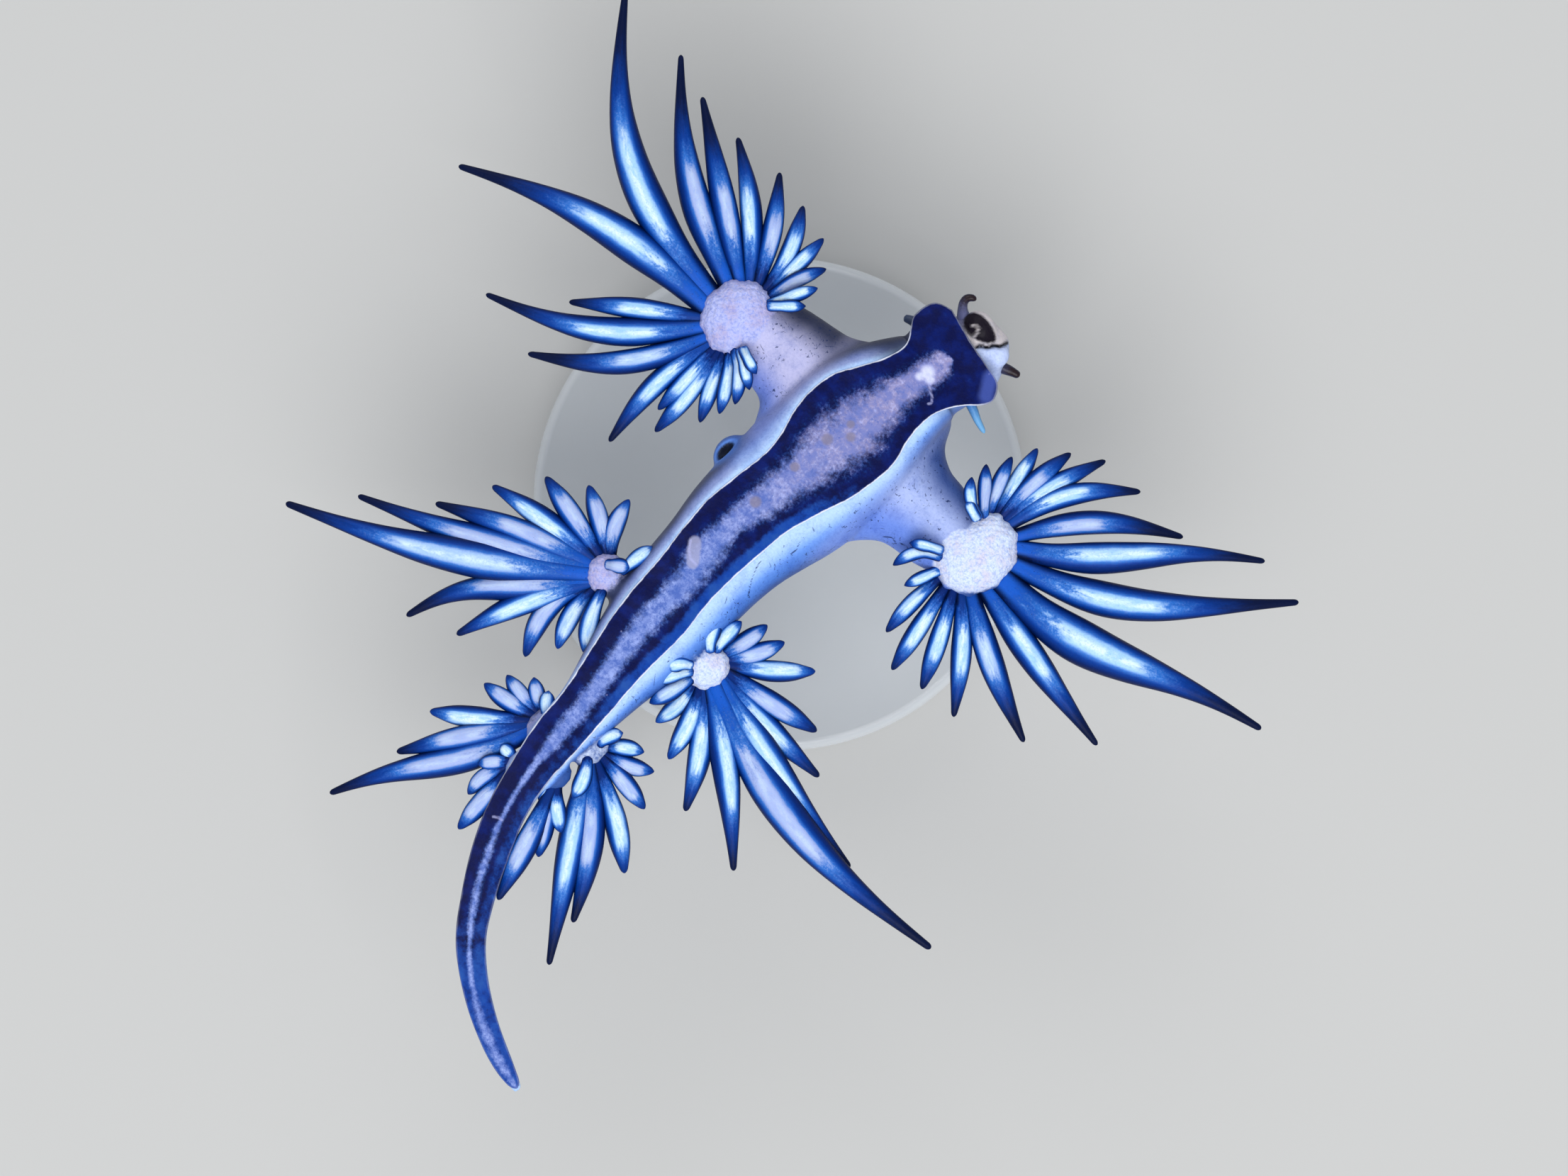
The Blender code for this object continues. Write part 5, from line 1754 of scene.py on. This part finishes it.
    def paint_head(self, points: Array, facing: Array) -> None:
        """Colour the lips, the mouth and the sides of the head.

        Args:
            points: the skin's points.
            facing: how much each faces up.
        """
        x, y, z = points.T
        head = ease(-8.0, -9.1, y)
        self.spread(head, self.lip_white)
        self.spread(head * ease(0.35, -0.15, facing), self.back_silver)
        top = ease(13.0, 13.5, z) * head
        line = np.array(MOUTH_LINE)
        on_right = ease(-0.05, 0.08, x - np.interp(-y, -line[:, 1], line[:, 0]))
        self.spread(top * on_right * 0.95, self.lip_cream)
        temple = ease(-0.55, 0.0, x) * ease(-9.95, -9.75, y)
        self.spread(top * temple * 0.9, self.lip_shade)
        patch = ease(-0.06, 0.03, inside_outline(points, LIP_PATCH))
        self.spread(patch * ease(13.85, 14.05, z), self.lip_dark)
        fold = ease(0.07, 0.01, distance_to(points, LIP_FOLD))
        self.spread(fold * top * 0.65, self.lip_cream)
        # Painted shade inside the mouth slit
        slit = ease(0.10, 0.03, distance_to(points, MOUTH_LINE))
        self.spread(slit * top, self.slit_and_pit_shade)

    def pit_gap(self, points: Array) -> Array:
        """Distance from the genital pit, 1 at its rim."""
        return np.linalg.norm((points - PIT_MOUTH[0]) / PIT_MOUTH[1], axis=1)

    def paint_papilla(self, points: Array) -> None:
        """Colour the genital opening: a pale rim, and painted shade in the pit.

        Args:
            points: the skin's points.
        """
        gap = self.pit_gap(points)
        self.spread(ease(3.0, 1.4, gap) * 0.8, self.steel)
        self.spread(ease(1.65, 1.25, gap) * 0.7, self.sky)
        # Painted shade inside the pit
        self.spread(ease(1.20, 0.85, gap) * 0.97, self.slit_and_pit_shade)


@dataclass
class Sole:
    """The foot's sole: a thin ribbon with a raised margin from the front lobes to the tail."""

    midline: Midline
    first_station: float = 0.4
    station_step: float = 0.8
    step: float = 0.085
    columns: int = 54
    crowding: float = 1.35
    hollow: float = 0.015
    hollow_width: float = 0.35
    wave_height: float = 0.005
    lip: float = 0.06
    thickness: float = 0.30
    edge_depth: float = 0.17
    tail_round: float = 0.34
    tan_spots: Rows = (
        (0.36, -2.79, 0.36), (0.15, -3.79, 0.26), (-0.18, -3.46, 0.30), (0.47, -1.23, 0.30),
        (0.56, 0.69, 0.36))
    blotch: Rows = ((1.06, 3.32), (0.84, 3.60), (0.58, 3.88))
    blotch_radius: float = 0.36
    bright_spots: Rows = (
        (-0.46, -7.12, 0.50), (-0.70, -7.00, 0.34), (-0.36, -6.84, 0.30))
    streaks: tuple[Rows, ...] = (
        ((-0.72, -6.98), (-0.98, -6.74), (-1.24, -6.60), (-1.36, -6.44), (-1.30, -6.34)),
        ((1.22, 3.36), (1.00, 3.66), (0.76, 3.84), (0.42, 3.86)),
        ((-0.95, 15.64), (-1.10, 15.52), (-1.26, 15.50)))
    lobe_patch: Rows = ((-2.20, -8.66), (-2.58, -8.06))
    lobe_radius: float = 0.36
    front: tuple[float, float] = (-1.10, -9.40)
    front_reach: float = 2.36
    front_places: int = 28

    def edge_rows(self) -> Array:
        """Draw the sole's two edges, with the tail's end rounded off.

        Returns:
            Rows of right x and y, left x and y, and level, from the front to the tail.
        """
        stations = np.arange(self.first_station, self.midline.length, self.station_step)
        body = self.midline.rows(stations)
        side = self.midline.sides(stations) * body[:, 2:3]
        front = np.array(FOOT_FRONT)
        edges = np.concatenate((
            np.column_stack((front, np.full(len(front), FOOT_FRONT_LEVEL))),
            np.column_stack((body[:, :2] + side, body[:, :2] - side, body[:, 5]))))
        middles = (edges[:, :2] + edges[:, 2:4]) / 2
        steps = np.linalg.norm(np.diff(middles, axis=0), axis=1)
        knots = np.concatenate(([0.0], np.cumsum(steps)))
        places = np.arange(0.0, knots[-1], self.step)
        rows = smooth_through(knots, edges, places)
        middle = (rows[:, :2] + rows[:, 2:4]) / 2
        narrow = rounded_end(places / knots[-1], self.tail_round / knots[-1])[:, None]
        rows[:, :2] = middle + (rows[:, :2] - middle) * narrow
        rows[:, 2:4] = middle + (rows[:, 2:4] - middle) * narrow
        return rows

    def build(self) -> Thing:
        """Make the ribbon, with its marks kept on its points.

        Returns:
            The finished piece.
        """
        rows = self.edge_rows()
        outline = np.concatenate((rows[:, :2], rows[::-1, 2:4]))
        shape = loft([self.ring(row, outline) for row in rows])
        mesh = mesh_from("sole", shape, MM)
        self.mark(mesh, shape.points, outline)
        mesh.polygons.foreach_set("use_smooth", np.ones(len(mesh.polygons), bool))
        mesh.materials.append(SoleFinish().material())
        return put_in_scene("sole", mesh)

    def ring(self, row: Array, outline: Array) -> Array:
        """Draw a section of the ribbon: its face with the raised margin, and its underside.

        Args:
            row: right x and y, left x and y, and level.
            outline: the sole's whole outline.

        Returns:
            The section's points, one row each.
        """
        t = np.linspace(-1, 1, self.columns)
        # Columns crowd towards both edges, where the margin bends
        across = np.sign(t) * (1 - (1 - np.abs(t)) ** self.crowding)
        plan = (row[:2] + row[2:4]) / 2 + (row[:2] - row[2:4]) / 2 * across[:, None]
        edge = distance_to(plan, outline, closed=True)
        fall = np.clip(1 - edge / self.lip, 0, 1)
        height = row[4] - self.hollow * (1 - np.exp(-edge / self.hollow_width))
        height -= self.lip * (1 - np.sqrt(np.clip(1 - fall**2, 0, 1)))
        wave = (np.sin(5.1 * plan[:, 0] + 1.3 * plan[:, 1])
                + np.sin(3.7 * plan[:, 1] - 2.2 * plan[:, 0]))
        height += self.wave_height * wave * (1 - fall)
        upper = np.column_stack((plan, height))
        lower = upper[[-2, -10, self.columns // 2, 9, 1]].copy()
        lower[:, 2] = row[4] - self.thickness
        lower[[0, -1], 2] = row[4] - self.edge_depth
        return np.concatenate((upper, lower))

    def stations_of(self, points: Array) -> tuple[Array, Array]:
        """Find where each point lies along the sole.

        Args:
            points: the sole's points.

        Returns:
            Its distance along the midline, below 0 in front of the neck, and its distance to the
            animal's right of it.
        """
        s = np.arange(0.0, self.midline.length, 0.08)
        line = self.midline.rows(s)[:, :2]
        line = np.concatenate((np.linspace(self.front, line[0], self.front_places, endpoint=False),
                               line))
        s = np.concatenate((np.linspace(-self.front_reach, 0.0, self.front_places, endpoint=False),
                            s))
        ahead = np.gradient(line, axis=0)
        ahead /= np.linalg.norm(ahead, axis=1, keepdims=True)
        best = nearest_places(points, line)
        turned = np.column_stack((ahead[best, 1], -ahead[best, 0]))
        return s[best], ((points[:, :2] - line[best]) * turned).sum(axis=1)

    def stripe_share(self, along: Array, lateral: Array) -> Array:
        """Say how much each point belongs to the middle stripe.

        Args:
            along: distances along the midline.
            lateral: distances to the right of it.

        Returns:
            1 on the stripe's middle, 0 on its border, and less outside.
        """
        stripe = np.array(SOLE_STRIPE)
        middle = np.interp(along, stripe[:, 0], stripe[:, 1])
        half = np.interp(along, stripe[:, 0], stripe[:, 2])
        softness = np.maximum(half, 0.30 - 0.17 * ease(17.5, 20.5, along))
        share = (half - np.abs(lateral - middle)) / softness
        share -= 0.48 * ease(19.0, 23.0, along)
        return np.where(half > 0.02, share, -1.0)

    def royal_share(self, along: Array, lateral: Array) -> Array:
        """Say where the ground is royal blue: along the left rear edge and on the tail's end.

        Args:
            along: distances along the midline.
            lateral: distances to the right of it.

        Returns:
            A share from 0 to 1 for each point.
        """
        foot = self.midline.rows(np.clip(along, 0, None))[:, 2]
        left = ease(0.62, 0.26, foot + lateral)
        royal = left * ease(3.0, 7.5, along) * (1 - 0.45 * ease(15.0, 19.0, along))
        return np.maximum(royal, 0.85 * ease(25.0, 29.5, along))

    def mark(self, mesh: Mesh, points: Array, outline: Array) -> None:
        """Keep on each point how far it is from the edge, the stripe and the spots.

        Args:
            mesh: the sole's mesh.
            points: its points in millimetres.
            outline: the sole's whole outline.
        """
        along, lateral = self.stations_of(points)
        rim = 0.22 + 0.78 * ease(-8.2, -7.2, points[:, 1])
        lobe = distance_to(points, self.lobe_patch) / self.lobe_radius
        streak = np.min([distance_to(points, line) for line in self.streaks], axis=0)
        blotch = distance_to(points, self.blotch)
        marks = {
            "stripe": self.stripe_share(along, lateral),
            "royal": self.royal_share(along, lateral),
            "rear": ease(2.0, 12.0, along),
            "edge": distance_to(points, outline, closed=True),
            "rim": rim * (1 - 0.88 * ease(18.5, 23.0, along)),
            "lobe": np.minimum(lobe, 3.0),
            "streak": np.minimum(streak, 1.0),
            "tan": self.spots(points, self.tan_spots),
            "bright": self.spots(points, self.bright_spots),
            "blotch": ease(self.blotch_radius, 0.1, blotch),
        }
        for name, values in marks.items():
            store(mesh, name, values)

    def spots(self, points: Array, places: Rows) -> Array:
        """Say how much each point belongs to one of some round spots.

        Args:
            points: the sole's points.
            places: x, y and radius of each spot.

        Returns:
            A share from 0 to 1 for each point.
        """
        share = np.zeros(len(points))
        for x, y, radius in places:
            gap = np.hypot(points[:, 0] - x, points[:, 1] - y)
            share = np.maximum(share, ease(radius, radius * 0.25, gap))
        return share


@dataclass
class Cluster:
    """A fan of cerata around one pad."""

    place: str
    pad: Pad
    cerata: Rows
    sink: float = 0.55
    width_base: float = 0.53
    width_per_length: float = 0.074
    least: float = 0.42
    blunt: float = 0.16
    front_base: float = 0.36
    front_per_length: float = 0.086
    arch: float = 0.03
    droop: float = 0.045
    stagger: float = 0.10
    lift_at_root: float = 0.64
    lift_by: float = 0.50
    slender_length: float = 9.0
    leafy_length: float = 5.0
    long_length: float = 4.6
    sides: int = 22
    flatness: float = 0.78

    def path(self, entry: Ceras, index: int) -> Array:
        """Lay out a ceras from deep inside the pad's rim to its tip.

        Args:
            entry: the ceras.
            index: its place in the fan.

        Returns:
            Rows of x, y, z and radius.
        """
        pad = self.pad
        root_angle, tip_angle = math.radians(entry.root), math.radians(entry.tip)
        sink = self.sink * (1 - 0.3 * min(entry.lift, 1.0))
        inward = max(0.25, 1 - sink / min(pad.rim_x, pad.rim_y))
        middle = np.array((pad.x, pad.y))
        root = middle + inward * np.array((pad.rim_x * math.cos(root_angle),
                                           pad.rim_y * math.sin(root_angle)))
        tip = middle + entry.reach * np.array((math.cos(tip_angle), math.sin(tip_angle)))
        chord = tip - root
        length = float(np.linalg.norm(chord))
        left = np.array((-chord[1], chord[0])) / length
        count = int(np.clip(14 + 2.6 * length, 16, 44))
        t = closer_to_end(count, self.blunt / length)
        sideways = entry.bow * np.sin(math.pi * t) + entry.hook * np.sin(2 * math.pi * t)
        plan = root + t[:, None] * chord + (sideways * length)[:, None] * left
        risen = self.lift_at_root + (1 - self.lift_at_root) * ease(0.0, self.lift_by, t)
        stagger = self.stagger * (1 if index % 2 else -1)
        height = (pad.level + stagger * t + entry.lift * risen
                  + length * (self.arch * np.sin(math.pi * t) - self.droop * t * t))
        return np.column_stack((plan, height, self.widths(t, length, entry.girth) / 2))

    def widths(self, t: Array, length: float, girth: float) -> Array:
        """Work out how wide a ceras is.

        Args:
            t: shares of its length.
            length: its length.
            girth: how much stouter its root is.

        Returns:
            One width for each share.
        """
        if length <= self.long_length:
            table = np.array(LEAF_OUTLINE)
            share = smooth_through(table[:, 0], table[:, 1], t)
        else:
            table = np.array(CERAS_OUTLINE)
            slender = np.clip((length - self.leafy_length)
                              / (self.slender_length - self.leafy_length), 0, 1)
            outline = slender * table[:, 1] + (1 - slender) * table[:, 2]
            share = smooth_through(table[:, 0], outline, t)
        if self.place.endswith("_1"):
            widest = self.front_base + self.front_per_length * length
        else:
            widest = self.width_base + self.width_per_length * length
        width = widest * share * (1 + (girth - 1) * (1 - t))
        width = np.where(t < 0.75, np.maximum(width, self.least), width)
        blunt = self.blunt / length
        return width * rounded_end(t, blunt) * rounded_end(1 - t, blunt)

    def build(self, tree: SweepTree, material: Material) -> Thing:
        """Sweep every ceras of the fan into one piece.

        Args:
            tree: what sweeps them.
            material: the cerata's material.

        Returns:
            The piece, its points told whether they are hind, dusky and lifted.
        """
        entries = [Ceras(*entry) for entry in self.cerata]
        paths = [self.path(entry, i) for i, entry in enumerate(entries)]
        made = tree.sweep("cerata_fan_" + self.place, paths, self.sides, self.flatness, material)
        count = len(made.data.vertices)
        hind = 0.0 if self.place.endswith("_1") else 1.0
        dusky = hind if self.place.startswith("right") else 0.0
        store(made.data, "hind", np.full(count, hind))
        store(made.data, "dusky", np.full(count, dusky))
        lifted = np.repeat([min(entry.lift, 1.0) for entry in entries],
                           [len(path) * self.sides for path in paths])
        store(made.data, "lifted", lifted)
        return made


@dataclass
class Feelers:
    """The mouth's and the head's feelers."""

    blunt: float = 0.13
    sides: int = 20
    purple_root: Colour = (0.12, 0.13, 0.27)
    purple_tip: Colour = (0.014, 0.006, 0.010)
    dusk_root: Colour = (0.045, 0.045, 0.10)
    cyan_root: Colour = (0.055, 0.20, 0.50)
    cyan_tip: Colour = (0.16, 0.42, 0.74)
    grey_root: Colour = (0.08, 0.12, 0.22)
    grey_tip: Colour = (0.04, 0.06, 0.12)

    def build(self, tree: SweepTree) -> list[Piece]:
        """Sweep the four feelers.

        Args:
            tree: what sweeps them.

        Returns:
            The finished pieces.
        """
        purple = FeelerFinish("oral_skin", self.purple_root, self.purple_tip)
        dark = FeelerFinish("dark_oral_skin", self.dusk_root, self.purple_tip)
        cyan = FeelerFinish("cyan_feeler_skin", self.cyan_root, self.cyan_tip)
        grey = FeelerFinish("grey_feeler_skin", self.grey_root, self.grey_tip)
        made = []
        for feeler, path, finish, slot in (
                (Feeler.ORAL_RIGHT, ORAL_RIGHT, purple, "dark_skin"),
                (Feeler.ORAL_LEFT, ORAL_LEFT, dark, "dark_skin"),
                (Feeler.RHINOPHORE_RIGHT, RHINOPHORE_RIGHT, grey, "cyan_skin"),
                (Feeler.RHINOPHORE_LEFT, RHINOPHORE_LEFT, cyan, "cyan_skin")):
            t = closer_to_end(7 * len(path), self.blunt)
            rows = smooth_through(np.linspace(0, 1, len(path)), np.array(path), t)
            rows[:, 3] *= rounded_end(t, self.blunt)
            thing = tree.sweep(feeler.value + "_feeler", [rows], self.sides, 1.0, finish.material())
            made.append(Piece(thing, slot, (feeler.value,)))
        return made


@dataclass
class Stand:
    """The clear stand: a turned base and rod in place of the CAD's faceted ones."""

    radius: float = 9.5
    height: float = 2.4
    edge: float = 0.4
    rod_radius: float = 0.75
    rod_bottom: float = 2.38
    rod_top: float = 11.6
    sides: int = 160

    def turned(self, profile: Rows) -> Shape:
        """Turn a round solid.

        Args:
            profile: radii and levels, from bottom to top.

        Returns:
            The solid.
        """
        angle = np.linspace(0, 2 * math.pi, self.sides, endpoint=False)
        rings = [np.column_stack((r * np.cos(angle), r * np.sin(angle), np.full(self.sides, z)))
                 for r, z in profile]
        return loft(rings)

    def build(self) -> list[Piece]:
        """Make the base and the rod.

        Returns:
            The finished pieces.
        """
        bend = np.linspace(0, math.pi / 2, 9)
        low = [(self.radius - self.edge * (1 - math.sin(a)), self.edge * (1 - math.cos(a)))
               for a in bend]
        high = [(r, self.height - z) for r, z in reversed(low)]
        base = self.turned([*low, *high])
        rod = self.turned([(self.rod_radius, self.rod_bottom), (self.rod_radius, self.rod_top)])
        material = AcrylicFinish().material((self.radius - self.edge) * MM)
        made = []
        for name, shape, node in (("clear_base", base, "stand_base"),
                                  ("clear_rod", rod, "stand_rod")):
            mesh = mesh_from(name, shape, MM)
            mesh.materials.append(material)
            thing = put_in_scene(name, mesh)
            for polygon in mesh.polygons:
                polygon.use_smooth = abs(polygon.normal.z) < 0.999
            made.append(Piece(thing, "stand_acrylic", (node,)))
        return made


class Lamp(NamedTuple):
    """A round soft light that faces the model: place and size in metres, power in watts."""

    name: str
    place: tuple[float, float, float]
    size: float
    power: float


@dataclass
class Studio:
    """Floor, soft lights and the camera at the photo's viewing angle."""

    lamps: tuple[Lamp, ...] = (Lamp("key", (-0.15, 0.13, 0.38), 0.36, 1.60),
                               Lamp("fill", (0.26, -0.22, 0.30), 0.30, 0.5))
    sky: Colour = (0.90, 0.94, 1.0)
    sky_strength: float = 0.44
    middle: tuple[float, float] = (-2.42, 2.15)
    plane: float = 14.5
    distance: float = 250.0
    frame_width: float = 57.5
    heading: float = 44.4
    floor_size: float = 1.6
    floor_drop: float = 0.02
    sensor: float = 36.0

    def build(self) -> None:
        """Set the scene up around the model."""
        self.lay_floor()
        self.light()
        self.aim_camera()

    def lay_floor(self) -> None:
        """A wide pale floor under the stand."""
        half = self.floor_size / 2
        mesh = bpy.data.meshes.new("floor")
        mesh.from_pydata([(-half, -half, 0), (half, -half, 0), (half, half, 0), (-half, half, 0)],
                         [], [(0, 1, 2, 3)])
        mesh.materials.append(FloorFinish().material())
        floor = put_in_scene("floor", mesh)
        floor.location.z = -self.floor_drop * MM

    def light(self) -> None:
        """Add one large soft light on the tail's left, a weaker one opposite, and even surroundings.
        """
        for lamp in self.lamps:
            light = bpy.data.lights.new(lamp.name, "AREA")
            light.shape = "DISK"
            light.size = lamp.size
            light.energy = lamp.power
            thing = put_in_scene(lamp.name, light)
            aim = Matrix.Translation(lamp.place)
            direction = -aim.translation.normalized()
            thing.matrix_world = aim @ direction.to_track_quat("-Z", "Y").to_matrix().to_4x4()
        world = bpy.data.worlds.new("surroundings")
        world.use_nodes = True
        back = world.node_tree.nodes["Background"]
        back.inputs["Color"].default_value = (*self.sky, 1.0)
        back.inputs["Strength"].default_value = self.sky_strength
        bpy.context.scene.world = world
        bpy.context.scene.view_settings.view_transform = "Standard"

    def aim_camera(self) -> None:
        """A long lens straight above, turned as the photo is."""
        camera = bpy.data.cameras.new("camera")
        camera.sensor_width = self.sensor
        camera.lens = camera.sensor_width * self.distance / self.frame_width
        camera.clip_start = 0.01
        camera.clip_end = 10.0
        thing = put_in_scene("camera", camera)
        heading = math.radians(self.heading)
        sine, cosine = math.sin(heading), math.cos(heading)
        turn = Matrix(((-sine, cosine, 0), (-cosine, -sine, 0), (0, 0, 1)))
        place = (self.middle[0] * MM, self.middle[1] * MM, (self.plane + self.distance) * MM)
        thing.matrix_world = Matrix.Translation(place) @ turn.to_4x4()
        bpy.context.scene.camera = thing


def build_animal() -> list[Piece]:
    """Build skin, sole, cerata and feelers.

    Returns:
        The finished pieces.
    """
    midline = Midline()
    flesh_nodes = ("head", "torso_front", "torso_rear", "tail_base", "tail_tip", "arm_right",
                   "arm_left")
    made = [Piece(Skin(midline).build(), "flank_skin", flesh_nodes),
            Piece(Sole(midline).build(), "foot_skin", ("foot_front", "foot_rear"))]
    tree = SweepTree()
    material = CerataFinish().material()
    for place, pad in PADS.items():
        thing = Cluster(place, pad, CERATA[place]).build(tree, material)
        made.append(Piece(thing, "cerata_skin", ("cerata_" + place,)))
    return made + Feelers().build(tree)


def main() -> None:
    """Build the model's pieces in order, then the studio."""
    logging.basicConfig(level=logging.INFO, format="%(name)s: %(message)s")
    for piece in [*build_animal(), *Stand().build()]:
        piece.settle()
    Studio().build()


if __name__ == "__main__":
    main()
